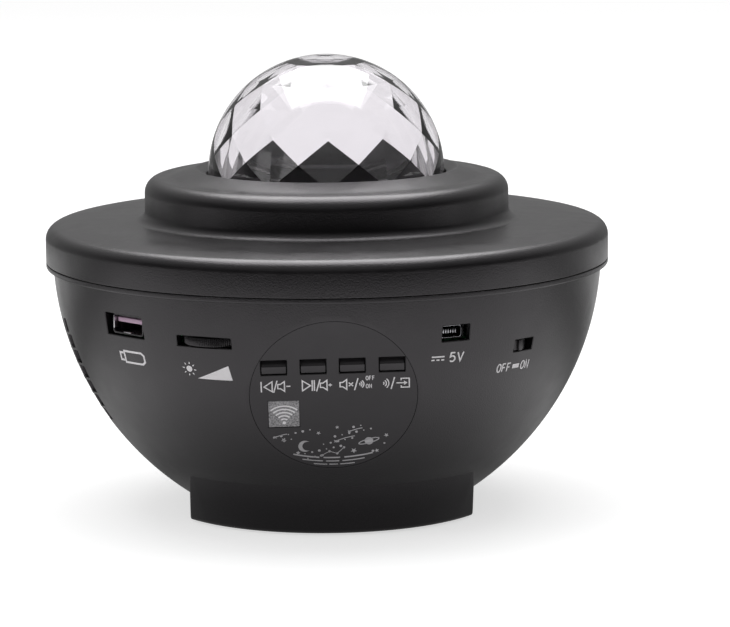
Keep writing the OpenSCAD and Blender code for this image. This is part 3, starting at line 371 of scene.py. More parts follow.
def circuitBoard(name):
    material, tree, shader, place = startMaterial(name)
    tracks = tree.nodes.new("ShaderNodeTexBrick")
    tracks.inputs["Scale"].default_value = 180
    tracks.inputs["Mortar Size"].default_value = 0.05
    tracks.inputs["Color1"].default_value = (0.008, 0.07, 0.025, 1)
    tracks.inputs["Color2"].default_value = (0.01, 0.085, 0.03, 1)
    tracks.inputs["Mortar"].default_value = (0.03, 0.16, 0.06, 1)
    link(tree, place, tracks.inputs["Vector"])
    link(tree, tracks.outputs["Color"], shader.inputs["Base Color"])
    smear = addNoise(tree, place, 300)
    link(tree, addRange(tree, smear, 0.25, 0.4), shader.inputs["Roughness"])
    addBump(tree, shader, tracks.outputs["Fac"], 0.4, 0.00003)
    return material


casing = {"grain": 2300, "depth": 0.00008, "strength": 0.8}
finish = {
    "shell": mouldedPlastic("satinBlackShell", (0.0048, 0.0044, 0.0048), (0.0062, 0.0057, 0.0062),
                            gloss=(0.3, 0.36), **casing),
    "lid": mouldedPlastic("satinBlackLid", (0.0045, 0.0041, 0.0045), (0.0058, 0.0053, 0.0058),
                          gloss=(0.28, 0.34), **casing),
    "foot": mouldedPlastic("satinBlackFoot", (0.0045, 0.0041, 0.0045), (0.0058, 0.0053, 0.0058),
                           gloss=(0.36, 0.46), specular=0.34, **casing),
    "panel": mouldedPlastic("mattBlackPanel", (0.0055, 0.0052, 0.0056), (0.007, 0.0066, 0.0072),
                            gloss=(0.34, 0.42), grain=3600),
    "button": mouldedPlastic("buttonBlack", (0.012, 0.0112, 0.012), (0.016, 0.015, 0.016),
                             gloss=(0.3, 0.42), grain=3200),
    "inner": mouldedPlastic("mattInner", (0.0045, 0.0042, 0.0045), (0.0065, 0.006, 0.0065),
                            gloss=(0.7, 0.85), specular=0.08),
    "rubber": mouldedPlastic("padRubber", (0.012, 0.012, 0.012), (0.02, 0.02, 0.02),
                             gloss=(0.75, 0.9), grain=1500, depth=0.00008, specular=0.25),
    "ink": mouldedPlastic("whiteInk", (0.8, 0.78, 0.8), (0.88, 0.86, 0.88), gloss=(0.5, 0.65),
                          grain=5200, depth=0.00001),
    "greyInk": mouldedPlastic("greyInk", (0.36, 0.35, 0.36), (0.52, 0.51, 0.53), gloss=(0.5, 0.65),
                              grain=5200, depth=0.00001),
    "window": mouldedPlastic("windowGrey", (0.08, 0.078, 0.082), (0.5, 0.49, 0.505),
                             gloss=(0.45, 0.6), grain=2200, depth=0.00002, speckle=2300),
    "dome": clearPlastic("clearDome", (0.93, 0.91, 0.935)),
    "lens": clearPlastic("clearLens", (0.97, 0.98, 0.98), ior=1.5),
    "ripple": clearPlastic("rippleClear", (0.86, 0.9, 0.97), ior=1.52, ripple=0.0005),
    "steel": metal("socketSteel", (0.42, 0.41, 0.42), (0.62, 0.6, 0.62)),
    # Painted shade: socket steel coloured near-black so the socket insides look dark
    "steelPaintedShade": metal("socketSteelPaintedShade", (0.05, 0.049, 0.05), (0.1, 0.097, 0.1), rough=(0.4, 0.55)),
    "screw": metal("screwSteel", (0.3, 0.3, 0.31), (0.5, 0.5, 0.52), rough=(0.25, 0.45)),
    "gold": metal("contactGold", (0.7, 0.48, 0.16), (0.85, 0.62, 0.25)),
    "brass": metal("laserBrass", (0.5, 0.34, 0.12), (0.7, 0.5, 0.22)),
    "aluminium": metal("sinkAluminium", (0.5, 0.5, 0.52), (0.66, 0.66, 0.68), rough=(0.3, 0.5)),
    "darkMetal": metal("magnetDark", (0.1, 0.1, 0.105), (0.17, 0.17, 0.18), rough=(0.35, 0.55)),
    "pink": mouldedPlastic("tonguePink", (0.5, 0.33, 0.46), (0.6, 0.42, 0.55), gloss=(0.3, 0.4)),
    "gearWhite": mouldedPlastic("gearWhite", (0.6, 0.6, 0.56), (0.7, 0.7, 0.66), gloss=(0.3, 0.42)),
    "chip": mouldedPlastic("chipBlack", (0.01, 0.01, 0.011), (0.017, 0.017, 0.018), grain=4200),
    "grey": mouldedPlastic("switchGrey", (0.09, 0.09, 0.095), (0.13, 0.13, 0.135)),
    "tact": metal("tactGrey", (0.3, 0.3, 0.32), (0.46, 0.46, 0.48)),
    "ribbon": mouldedPlastic("ribbonGrey", (0.42, 0.42, 0.45), (0.56, 0.56, 0.6)),
    "blue": mouldedPlastic("moduleBlue", (0.012, 0.04, 0.13), (0.018, 0.06, 0.18)),
    "capacitor": mouldedPlastic("capacitorSleeve", (0.02, 0.025, 0.05), (0.03, 0.036, 0.07),
                                gloss=(0.2, 0.3)),
    "paper": mouldedPlastic("conePaper", (0.018, 0.017, 0.017), (0.035, 0.033, 0.032),
                            gloss=(0.8, 0.95), grain=900, depth=0.0002),
    "cloth": mouldedPlastic("grilleCloth", (0.002, 0.0019, 0.002), (0.008, 0.0076, 0.008),
                            gloss=(0.85, 0.95), grain=1800, depth=0.0001, specular=0.15,
                            speckle=1800),
    "red": mouldedPlastic("wireRed", (0.3, 0.01, 0.01), (0.42, 0.02, 0.02), gloss=(0.3, 0.4)),
    "yellow": mouldedPlastic("wireYellow", (0.5, 0.36, 0.03), (0.62, 0.46, 0.05), gloss=(0.3, 0.4)),
    "ledWhite": mouldedPlastic("ledBoardWhite", (0.6, 0.6, 0.58), (0.72, 0.72, 0.7)),
    "ledYellow": mouldedPlastic("ledPhosphor", (0.75, 0.55, 0.06), (0.85, 0.66, 0.12),
                                gloss=(0.25, 0.35), grain=1800),
    "board": circuitBoard("boardGreen"),
}
print("materials ready")


sockets = {
    "usb": {"az": -47.6, "z": 63.8, "w": 16.0, "h": 6.5},
    "dc": {"az": 25.6, "z": 63.4, "w": 8.9, "h": 4.7},
    "switch": {"az": 43.8, "z": 57.2, "w": 7.8, "h": 3.6},
    "wheel": {"az": -27.2, "z": 61.45, "w": 17.4, "h": 3.1},
}
buttons = {"x": (-16.8, -5.6, 5.5, 16.8), "z": 9.87, "w": 7.6, "h": 5.0, "gap": 0.25,
           "recess": 0.3, "edge": 0.3, "stemZ": 54.8, "stemPitch": 11.4, "stemY": (5.8, 8.6),
           "cutDepth": 9, "cutEdge": 0.16, "corner": 0.3,
           "names": ("previous", "next", "mute", "source")}
panel = {"z": 44.28, "depth": 3.69, "turn": 1.2, "rim": 25.21, "wide": 0.966, "r": 24.85,
         "t": 1.1, "gap": 0.06, "edge": 0.12, "back": 2.3}
window = {"x": -14.3, "z": -5.9, "w": 8.8, "sink": 0.15, "t": 1.25, "ledge": 2, "play": 0.2,
          "cutDepth": 6, "cutEdge": 0.1}
grille = {"az": -94.0, "z": 42.8, "slots": 7, "pitch": 4.9, "rib": 0.8, "w": 57.0, "swell": 0.9,
          "columns": 6, "columnPitch": 9.6, "columnGap": 1.6, "corner": 0.8, "edge": 0.2,
          "cutDepth": 7, "clothDepth": 0.9, "clothT": 0.3, "clothOver": 3, "clothCorner": 6}


# A place on the flat face that is cut off the front of the bowl
def onPanel(x=0.0, z=0.0):
    return (onBowl(0, panel["z"]) @ Matrix.Rotation(math.radians(-panel["turn"]), 4, "Y")
            @ shift(x, panel["depth"], z))


# A round shape on that face from (r, depth) points
def panelShape(points):
    bm = placed(lathe(profile(points), 160), Matrix.Rotation(math.radians(-90), 4, "X"))
    bmesh.ops.scale(bm, vec=(panel["wide"], 1, 1), verts=bm.verts)
    return placed(bm, onPanel())


def panelOpenings(side):
    openings = []
    for x in buttons["x"]:
        bm = notch(buttons["w"], buttons["h"], buttons["cutDepth"], buttons["cutEdge"],
                   buttons["corner"])
        openings.append(placed(bm, onPanel(x, buttons["z"])))
    bm = notch(side, side, window["cutDepth"], window["cutEdge"])
    return openings + [placed(bm, onPanel(window["x"], window["z"]))]


def makeBowl():
    rimZ = bowl["seamZ"] - bowl["lipDrop"]
    lidR = lid["r"]
    count = bowl["arcPoints"]
    points = [(0, bowl["floorZ"])] + bowlArc(0, bowl["floorZ"], rimZ, count)
    points += [(lidR, rimZ, bowl["lipRound"]), (lidR, bowl["seamZ"], 0.2)]
    points += bowlArc(bowl["wall"], bowl["floorZ"] + bowl["wall"], bowl["seamZ"], count)[::-1]
    points += [(0, bowl["floorZ"] + bowl["wall"])]
    shell = newObject("bowlShell", lathe(profile(points), bowl["steps"]))
    cutters = []
    for s in sockets.values():
        bm = notch(s["w"], s["h"], bowl["cutDepth"], bowl["edge"], bowl["cutCorner"])
        drape(bm, around(s["az"], bowlRadius(s["z"]), s["z"]))
        cutters.append(bm)
    cutters += panelOpenings(window["w"] - window["ledge"])
    tall = grille["slots"] * grille["pitch"]
    for i in range(grille["slots"]):
        z = (i + 0.5) * grille["pitch"] - tall / 2
        half = grille["w"] / 2 * math.sqrt(1 - (z / (tall * grille["swell"])) ** 2)
        for k in range(grille["columns"]):
            end = grille["w"] / 2 - k * grille["columnPitch"]
            x0 = max(end - grille["columnPitch"] + grille["columnGap"], -half)
            x1 = min(end, half)
            bm = notch(x1 - x0, grille["pitch"] - grille["rib"], grille["cutDepth"],
                       grille["edge"], grille["corner"])
            bmesh.ops.translate(bm, vec=((x0 + x1) / 2, 0, z), verts=bm.verts)
            drape(bm, onBowl(grille["az"], grille["z"]))
            cutters.append(bm)
    # The flat face: a wall behind it, the bowl cut away to it, and a seat for the panel
    rim, back, seat = panel["rim"], panel["back"], panel["r"] + panel["gap"]
    deep = panel["t"] + 0.05
    carve(shell, panelShape([(0, -0.3), (rim - 1.2, -0.3), (rim + 3.8, back), (0, back)]), "UNION")
    carve(shell, panelShape([(0, -6), (rim + 2, -6), (rim + 2, 0), (0, 0)]))
    carve(shell, panelShape([(0, -1), (seat, -1), (seat, deep), (0, deep)]))
    carve(shell, join(*cutters))
    finishPiece(shell, finish["shell"], "housing", ("bowl_shell",))


lid = {"r": 84.6, "sideH": 10.4, "rise": 1.3, "wall": 2.2, "stepR": 54.7, "stepH": 13.3,
       "stepRound": 4.7, "stepHollow": 3.0, "crestRise": 2.4, "crestR": 39.5, "crestFootR": 47.5,
       "openR": 36.0, "openDrop": 1.7, "lipT": 1.3, "gap": 0.16, "steps": 240, "slope": 19,
       "skirtH": 3.8, "skirtT": 1.6, "skirtPlay": 0.3,
       "posts": {"count": 4, "r": 3.4, "at": 46, "into": 1.2, "from": 78.0}}


def makeLid():
    seam = bowl["seamZ"]
    shoulder = seam + lid["sideH"]
    top = shoulder + lid["rise"]
    edge = top + lid["stepH"]
    crest = edge + lid["crestRise"]
    stepR, wall, r = lid["stepR"], lid["wall"], lid["r"]
    skirtZ = seam - lid["skirtH"]
    skirtR = bowlRadius(skirtZ, bowl["wall"]) - lid["skirtPlay"]
    hollowR, slopeR = skirtR - lid["skirtT"], stepR + lid["slope"]
    openZ = crest - lid["openDrop"]
    flangeZ = openZ - lid["lipT"]
    roof = edge - 0.2 - wall
    points = [
        (r, seam + lid["gap"], 0.3), (r, shoulder, 3.4), (slopeR, top, 2.5),
        (stepR, top + 0.4, lid["stepHollow"]), (stepR, edge, lid["stepRound"]),
        (lid["crestFootR"], edge - 0.2, 1.6), (lid["crestR"], crest, 0.5),
        (lid["openR"], openZ, 0.25), (lid["openR"], flangeZ), (40.1, flangeZ),
        (lid["crestFootR"] - 3, roof, 0.5), (stepR - wall, roof, 0.8),
        (stepR - wall, top - wall, 0.5), (slopeR, top - wall, 1.0),
        (r - wall, shoulder - wall, 1.8), (r - wall, seam + 2), (hollowR, seam + 2),
        (hollowR, skirtZ), (skirtR, skirtZ), (skirtR, seam), (r - 2.2, seam),
        (r - 2.2, seam + lid["gap"]),
    ]
    cover = newObject("lidCover", lathe(profile(points, segments=8), lid["steps"]))
    # Posts for the deck, run into the roof
    posts, shapes = lid["posts"], []
    high, low = roof + posts["into"], posts["from"]
    for i in range(posts["count"]):
        shapes.append(placed(rod(posts["r"], high - low, 32),
                             around(45 + 90 * i, posts["at"], (high + low) / 2)))
    carve(cover, join(*shapes), "UNION")
    finishPiece(cover, finish["lid"], "housing", ("top_cover",))


makeBowl()
print("bowl ready")
makeLid()
print("lid ready")


foot = {"r": 50.6, "topR": 56.4, "w": 84.0, "z": 0.6, "round": 1.5, "edge": 0.5, "steps": 200,
        "play": 0.15, "pad": {"at": 30.0, "seatR": 4.6, "seatH": 1.2, "r": 4.5, "t": 1.2,
                              "edge": 0.25},
        "screw": {"at": 18.0, "hole": ((3.2, 1.8), (1.7, 1.8), (1.7, 4.5), (0, 4.5))}}


def makeFoot():
    topZ = bowl["curveZ"] - math.sqrt(bowl["curveR"] ** 2 - (foot["topR"] + bowl["curveBack"]) ** 2)
    points = [(0, foot["z"]), (foot["r"], foot["z"], foot["round"]),
              (foot["topR"] + foot["play"], topZ + 0.4, 0.2)]
    points += bowlArc(foot["play"], bowl["floorZ"], topZ - 0.3, 24)[::-1] + [(0, bowl["floorZ"])]
    bm = lathe(profile(points), foot["steps"])
    for side in (-1, 1):
        cut = bmesh.ops.bisect_plane(bm, geom=bm.verts[:] + bm.edges[:] + bm.faces[:], dist=1e-4,
                                     plane_co=(side * foot["w"] / 2, 0, 0), plane_no=(side, 0, 0),
                                     clear_outer=True)
        rim = [g for g in cut["geom_cut"] if isinstance(g, bmesh.types.BMEdge) and g.is_boundary]
        bmesh.ops.holes_fill(bm, edges=rim)
    bmesh.ops.remove_doubles(bm, verts=bm.verts, dist=0.01)
    faceOutwards(bm)
    # Eases the outer edges of the flat ends
    ends = [e for e in bm.edges if e.is_manifold and e.calc_face_angle(0) > 0.5
            and max(f.normal.z for f in e.link_faces) < 0.2
            and all(abs(abs(v.co.x) - foot["w"] / 2) < 0.01 for v in e.verts)]
    bevel(bm, ends, foot["edge"], 3)
    base = newObject("foot", bm)
    pad, screw, holes, pads = foot["pad"], foot["screw"], [], []
    seat = ((pad["seatR"], pad["seatH"]), (0, pad["seatH"]))
    for x, y in ((-1, -1), (-1, 1), (1, -1), (1, 1)):
        for reach, rim in ((pad["at"], seat), (screw["at"], screw["hole"])):
            hole = lathe(profile(((0, -2), (rim[0][0], -2)) + rim), 48)
            holes.append(placed(hole, shift(x * reach, y * reach, 0)))
        bm = rod(pad["r"], pad["t"])
        roundEdges(bm, pad["edge"], 60, 3)
        pads.append(placed(bm, shift(x * pad["at"], y * pad["at"], pad["t"] / 2)))
    carve(base, join(*holes))
    finishPiece(base, finish["foot"], "housing", ("base_foot",))
    makePiece("footPads", join(*pads), finish["rubber"], "housing", ("rubber_feet",))


makeFoot()
print("foot ready")


dome = {"r": 35.5, "wall": 1.2, "z": 100.9, "rows": (-2, 10, 22, 37, 52, 70), "facets": 12,
        "flangeR": 39.5, "flangeZ": 99.7, "flangeT": 2.0, "steps": 144, "rings": 48,
        "gateR": 2.4, "gateH": 0.3}


def makeDome():
    r, z = dome["r"], dome["z"]
    skirt = dome["flangeZ"] - dome["flangeT"]
    angles = [math.radians(90 * i / dome["rings"]) for i in range(dome["rings"] + 1)]
    points = [(0, skirt), (dome["flangeR"], skirt, 0.2), (dome["flangeR"], dome["flangeZ"], 0.2),
              (r, dome["flangeZ"])] + [(r * math.cos(a), z + r * math.sin(a)) for a in angles]
    clear = newObject("clearDome", lathe(profile(points), dome["steps"]))
    for face in clear.data.polygons:
        face.use_smooth = True
    # The facets are on the inside: a hull round rings of points, cut out of the smooth dome
    hollow = bmesh.new()
    inner = r - dome["wall"]
    for k, lat in enumerate(dome["rows"]):
        for i in range(dome["facets"]):
            turn = (i + (k % 2) / 2) * 360 / dome["facets"]
            place = Matrix.Rotation(math.radians(turn), 4, "Z")
            a = math.radians(lat)
            hollow.verts.new(place @ Vector((0, -inner * math.cos(a), z + inner * math.sin(a))))
    bmesh.ops.convex_hull(hollow, input=hollow.verts)
    faceOutwards(hollow)
    wellR = inner * math.cos(math.radians(dome["rows"][0])) * math.cos(math.pi / dome["facets"])
    well = placed(rod(wellR, 8, 144), shift(0, 0, z - 1.0 - 4 + 0.4))
    top = z + r - dome["gateH"]
    gate = profile([(dome["gateR"], top, 0.15), (9, top), (9, top + 3), (dome["gateR"], top + 3)])
    carve(clear, lathe(gate, 96))
    carve(clear, well)
    carve(clear, hollow)
    clear.data.set_sharp_from_angle(angle=math.radians(40))
    for face in clear.data.polygons:
        depth = (face.center / mm - Vector((0, 0, z))).length
        face.use_smooth = depth > inner + 0.6 or face.center.z < (z - 1.3) * mm
    finishPiece(clear, finish["dome"], "housing", ("dome_cover",), angle=0)


makeDome()
print("dome ready")


def makePanel():
    r, t, cut = panel["r"], panel["t"], panel["edge"]
    disc = newObject("controlPanel", panelShape([(0, 0), (r - cut, 0), (r, cut), (r, t), (0, t)]))
    carve(disc, join(*panelOpenings(window["w"] + window["play"])))
    finishPiece(disc, finish["panel"], "housing", ("control_panel",))


def makeButtons():
    w, half = buttons["w"] - 2 * buttons["gap"], buttons["h"] / 2 - buttons["gap"]
    front, back = buttons["recess"], panel["back"] + 0.3
    side = [(front, -half), (front, 0.1), (front + 0.3, 0.5), (front + 1.0, 0.95),
            (front + 1.8, 1.6), (front + 2.1, half), (back + 0.2, half), (back + 0.2, -half)]
    for i, name in enumerate(buttons["names"]):
        cap = bmesh.new()
        cap.faces.new([cap.verts.new((-w / 2, y, z)) for y, z in side])
        pushed(cap, (w, 0, 0))
        roundEdges(cap, buttons["edge"], 50, 3)
        flange = block(w + 2, back, back + 1, buttons["h"] + 2, 0.15)
        cap = placed(join(cap, flange), onPanel(buttons["x"][i], buttons["z"]))
        stem = placed(block(2.6, *buttons["stemY"], 2.6, 0.15), onBowl(0, buttons["stemZ"])
                      @ shift((i - 1.5) * buttons["stemPitch"], 0, 0))
        node = "button_" + name
        makePiece(name + "Button", join(cap, stem), finish["button"], bodyOf[node], (node,))


makePanel()
makeButtons()
print("panel ready")


# A flat shape drawn in X and Z
def sheet(points):
    bm = bmesh.new()
    bm.faces.new([bm.verts.new((x, 0, z)) for x, z in points])
    return bm


# A line of one width through the points
def strip(points, width, closed=False):
    bm = bmesh.new()
    count = len(points)
    sides = []
    for i in range(count):
        here = Vector(points[i])
        before = Vector(points[i - 1]) if i or closed else here
        after = Vector(points[(i + 1) % count]) if i + 1 < count or closed else here
        into, out = (here - before).normalized(), (after - here).normalized()
        into, out = into if into.length else out, out if out.length else into
        across = Vector((-(into.y + out.y), into.x + out.x)).normalized()
        reach = width / 2 / max(0.4, across.dot(Vector((-into.y, into.x))))
        sides.append([bm.verts.new((here.x + k * reach * across.x, 0,
                                    here.y + k * reach * across.y)) for k in (-1, 1)])
    for a, b in zip(sides, sides[1:] + sides[:1] if closed else sides[1:]):
        bm.faces.new((a[0], b[0], b[1], a[1]))
    return bm


def oval(x, z, rx, rz=None, a0=0.0, a1=360.0, count=24):
    whole = a1 - a0 == 360
    angles = [math.radians(a0 + (a1 - a0) * i / count) for i in range(count + (not whole))]
    return [(x + rx * math.cos(a), z + (rz or rx) * math.sin(a)) for a in angles]


def star(x, z, r, tips, turn):
    return [(x + k * math.cos(a), z + k * math.sin(a)) for i in range(2 * tips)
            for a, k in [(math.radians(turn + 180 * i / tips), r if i % 2 == 0 else 0.42 * r)]]


def moved(shapes, dx, dz):
    return [placed(bm, shift(dx, 0, dz)) for bm in shapes]


# Thin ink on the bowl, or on a flat face of it
def printOn(name, shapes, place, key="ink", flat=False):
    bm = join(*shapes)
    bmesh.ops.triangulate(bm, faces=[f for f in bm.faces if len(f.verts) > 4])
    if not flat:
        cutEvery(bm, 1.6)
    pushed(bm, (0, -0.1, 0))
    bmesh.ops.translate(bm, vec=(0, 0.06, 0), verts=bm.verts)
    if flat:
        placed(bm, place)
    else:
        drape(bm, place)
    faceOutwards(bm)
    makePiece(name, bm, finish[key], "housing", angle=0)


letters = {
    "O": [("loop", oval(0.3, 0.5, 0.3, 0.5, count=20))],
    "F": [("line", [(0.05, 0), (0.05, 1), (0.55, 1)]), ("line", [(0.05, 0.52), (0.46, 0.52)])],
    "N": [("line", [(0.05, 0), (0.05, 1), (0.57, 0), (0.57, 1)])],
    "V": [("line", [(0, 1), (0.3, 0), (0.6, 1)])],
    "5": [("line", [(0.52, 1), (0.12, 1), (0.07, 0.56)]
           + oval(0.27, 0.32, 0.28, 0.32, 125, -140, 14))],
}


def lettering(text, h, line, x, z, narrow):
    shapes = []
    for i, letter in enumerate(text):
        for kind, points in letters.get(letter, ()):
            drawn = [(x + (px + 0.82 * i) * h * narrow, z + pz * h) for px, pz in points]
            shapes.append(strip(drawn, line, kind == "loop"))
    return shapes


icon = {"line": 0.36, "h": 3.6, "z": 3.6, "speaker": (1.9, 3.3), "slash": 4.0,
        "starts": (-20.5, -8.9, 1.9, 13.7)}


def speakerIcon(x):
    w, h = icon["speaker"]
    return [strip([(x, h * 0.22), (x + w * 0.4, h * 0.22), (x + w, h / 2), (x + w, -h / 2),
                   (x + w * 0.4, -h * 0.22), (x, -h * 0.22)], icon["line"], closed=True)]


def slash(x):
    h = icon["slash"]
    return [strip([(x, -h / 2), (x + h * 0.26, h / 2)], icon["line"])]


def waves(x, z, turn, radii, spread, line=0.3):
    return [strip(oval(x, z, r, None, turn - spread, turn + spread, 12), line) for r in radii]


def makeLabels():
    line, h = icon["line"], icon["h"]
    bar = [(0, -h / 2), (0, h / 2)]
    back = [strip(bar, line), strip([(0.8, 0), (3.1, 1.7), (3.1, -1.7)], line, closed=True)]
    back += slash(3.5) + speakerIcon(4.7) + [strip([(7.1, 0), (8.3, 0)], line)]
    ahead = [strip([(2.4, 0), (0.1, 1.7), (0.1, -1.7)], line, closed=True)]
    ahead += moved([strip(bar, line)], 2.9, 0) + moved([strip(bar, line)], 3.5, 0)
    ahead += slash(4.1) + speakerIcon(5.2) + [strip([(7.5, 0), (8.5, 0)], line),
                                              strip([(8.0, -0.5), (8.0, 0.5)], line * 0.8)]
    silent = speakerIcon(0) + [strip([(2.5, -0.6), (3.7, 0.6)], line),
                               strip([(2.5, 0.6), (3.7, -0.6)], line)]
    silent += slash(4.1) + waves(5.2, 0, 0, (0.5, 1.05, 1.6), 48)
    silent += lettering("OFF", 1.3, 0.22, 7.4, 1.3, 0.85)
    silent += lettering("ON", 1.3, 0.22, 7.4, -1.4, 0.85)
    source = waves(0.1, 0, 0, (0.6, 1.3, 2.0), 48) + slash(2.7)
    frameLine = [(5.6, 0.9), (5.6, 1.5), (7.9, 1.5), (7.9, -1.5), (5.6, -1.5), (5.6, -0.9)]
    source += [strip([(4.2, 0), (6.6, 0)], line), sheet([(7.4, 0), (6.4, 0.7), (6.4, -0.7)]),
               strip(frameLine, line)]
    for name, shapes, x in zip(buttons["names"], (back, ahead, silent, source), icon["starts"]):
        printOn(name + "Label", moved(shapes, x, icon["z"]), onPanel(), flat=True)


# Where the marks by the sockets are, as angle and height, and how wide their lines are
marks = {"battery": (-46.6, 54.4), "sun": (-31.3, 53.2), "ramp": (-25.5, 52.3),
         "supply": (25.0, 55.0), "power": (42.5, 50.9),
         "batteryLine": 0.62, "supplyLine": 0.42, "rays": 8}


def makeSocketMarks():
    line = marks["batteryLine"]
    case = [(-3.2, 1.75), (4.0, 1.75), (5.0, 1.0), (5.0, -1.0), (4.0, -1.75), (-3.2, -1.75)]
    battery = [strip(case, line, closed=True),
               strip([(-3.6, 1.15), (-5.1, 1.15), (-5.1, -1.15), (-3.6, -1.15)], line)]
    printOn("batteryMark", battery, onBowl(*marks["battery"]))
    sun = [sheet(oval(0, 0, 0.95))]
    for i in range(marks["rays"]):
        ray = [(1.5, -0.05), (1.8, -0.2), (2.35, 0), (1.8, 0.2), (1.5, 0.05)]
        turn = math.radians(360 / marks["rays"] * i + 8)
        sun.append(placed(sheet(ray), Matrix.Rotation(turn, 4, "Y")))
    printOn("sunMark", sun, onBowl(*marks["sun"]))
    ramp = [sheet([(-5.6, -2.0), (5.4, -2.0), (4.7, 2.6)])]
    printOn("dimmerMark", ramp, onBowl(*marks["ramp"]))
    line = marks["supplyLine"]
    supply = [strip([(-6.3, 1.75), (-2.3, 1.75)], line)]
    supply += [strip([(x, 0.75), (x + 0.95, 0.75)], line) for x in (-6.3, -4.77, -3.25)]
    supply += lettering("5V", 2.7, 0.46, -0.6, 0.0, 1.15)
    printOn("supplyMark", supply, onBowl(*marks["supply"]))
    power = lettering("OFF", 2.5, 0.38, -7.2, -1.2, 0.92)
    power += lettering("ON", 2.5, 0.38, 2.4, -1.2, 0.92)
    power += [sheet([(-1.2, -0.55), (1.5, -0.55), (1.5, 0.75), (-1.2, 0.75)])]
    printOn("powerMark", power, onBowl(*marks["power"]))


# A small night sky: stars, dots, a moon, a ringed planet, shooting stars and broken arcs below
nightSky = {
    "stars": ((-14.6, -14.0, 0.8), (-4.6, -12.0, 0.7), (5.4, -18.4, 0.95), (14.8, -13.4, 0.75),
              (-10.6, -18.6, 0.7), (12.0, -18.6, 0.7), (0.8, -10.2, 0.6)),
    "dots": 46, "r": 22.4,
    "shooting": ((0.2, -15.0, 5.6), (-17.0, -13.0, 3.4), (4.2, -11.8, 3.8)),
    "arcs": ((-20.6, 12.0, 0.42), (-21.8, 9.4, 0.32), (-22.9, 6.2, 0.28)),
    "arcSpans": ((-1.0, -0.38), (-0.28, 0.12), (0.22, 0.9)),
    "joined": [(-4.0, -19.8), (-1.6, -18.4), (0.6, -19.2), (2.6, -17.2)],
}


def makeSky():
    sky = [sheet(star(x, z, r, 5, 90 + 7 * x)) for x, z, r in nightSky["stars"]]
    for i in range(nightSky["dots"]):
        x = -18.5 + 37 * ((0.31 + 0.618 * i) % 1)
        z = -9.4 - 11.5 * ((0.12 + 0.755 * i) % 1)
        if math.hypot(x / panel["wide"], z) < nightSky["r"] and (x > -9 or z < -11.2):
            sky.append(sheet(oval(x, z, 0.2 + 0.1 * (i % 3), count=10)))
    moon = oval(-8.6, -16.4, 1.9, None, 60, 300, 20) + oval(-7.8, -16.4, 1.55, None, 290, 70, 20)
    sky.append(sheet(moon))
    turns = [math.radians(15 * i) for i in range(24)]
    ring = [(9.8 + 2.9 * math.cos(a) - 0.35 * math.sin(a),
             -15.2 + 0.9 * math.cos(a) + 0.6 * math.sin(a)) for a in turns]
    sky += [sheet(oval(9.8, -15.2, 1.25)), strip(ring, 0.26, closed=True)]
    for x, z, reach in nightSky["shooting"]:
        tail = [(x + reach * t, z + 0.46 * reach * t * (1 - 0.35 * t))
                for t in (i / 8 for i in range(9))]
        sky += [sheet(star(x, z, 0.6, 4, 45)), strip(tail, 0.24)]
    for base, reach, line in nightSky["arcs"]:
        for start, end in nightSky["arcSpans"]:
            arc = [(reach * t, base + 0.011 * (reach * t) ** 2)
                   for t in (start + (end - start) * i / 10 for i in range(11))]
            sky.append(strip(arc, line))
    joined = nightSky["joined"]
    sky += [strip(joined, 0.18)] + [sheet(oval(x, z, 0.36, count=12)) for x, z in joined]
    printOn("nightSkyPrint", sky, onPanel(0, -0.7), "greyInk", flat=True)


def makeWindow():
    place = onPanel(window["x"], window["z"])
    bm = block(window["w"], window["sink"], window["t"], window["w"], 0.06)
    makePiece("receiverWindow", placed(bm, place), finish["window"], "housing",
              ("receiver_window",))
    fan = [sheet(oval(0, -3.0, 0.5))] + waves(0, -3.0, 90, (1.3, 2.4, 3.5, 4.6, 5.7), 42, 0.45)
    printOn("receiverMark", fan, place @ shift(0, window["sink"], 0), flat=True)


makeLabels()
makeSocketMarks()
makeSky()
makeWindow()
print("printing ready")


wheel = {"r": 9.4, "out": 0.8, "t": 2.4, "ridges": 96, "cut": 0.3, "edge": 0.35, "shaftR": 1.5}
mouths = {"usb": {"w": 13.1, "h": 5.7, "t": 0.4, "y": (1.9, 4.4), "round": 0.8},
          "dc": {"w": 6.7, "h": 3.6, "t": 0.2, "y": (3.4, 4.6), "round": 0.9}}
# Blocks are width, front, back, height and edge; places are across and up from the middle
usbInside = {"spring": (0.5, 1.8, 3.4, 3.9, 0.12), "springAt": (-6.2, 0.5),
             "base": (3.2, 2.0, 3.4, 0.35, 0.1), "baseAt": (-0.6, -2.35),
             "tongueW": 11.0, "tongueFront": 2.9, "tongueH": 1.3, "tongueZ": 1.1}
dcInside = {"bar": (0.42, 4.3, 5.4, 1.3, 0.08), "count": 6, "pitch": 0.78, "first": -1.95}


def socketPlace(name):
    s = sockets[name]
    return around(s["az"], bowlRadius(s["z"]), s["z"])


def localBox(node, place):
    back = place.inverted()
    return [(min(c), max(c)) for c in zip(*(back @ (v.co / mm) for v in nodes[node].data.vertices))]


def roundRect(w, h, r):
    corners = ((w / 2 - r, h / 2 - r, 0), (r - w / 2, h / 2 - r, 90), (r - w / 2, r - h / 2, 180),
               (w / 2 - r, r - h / 2, 270))
    return [p for x, z, a in corners for p in oval(x, z, r, None, a, a + 90, 6)]


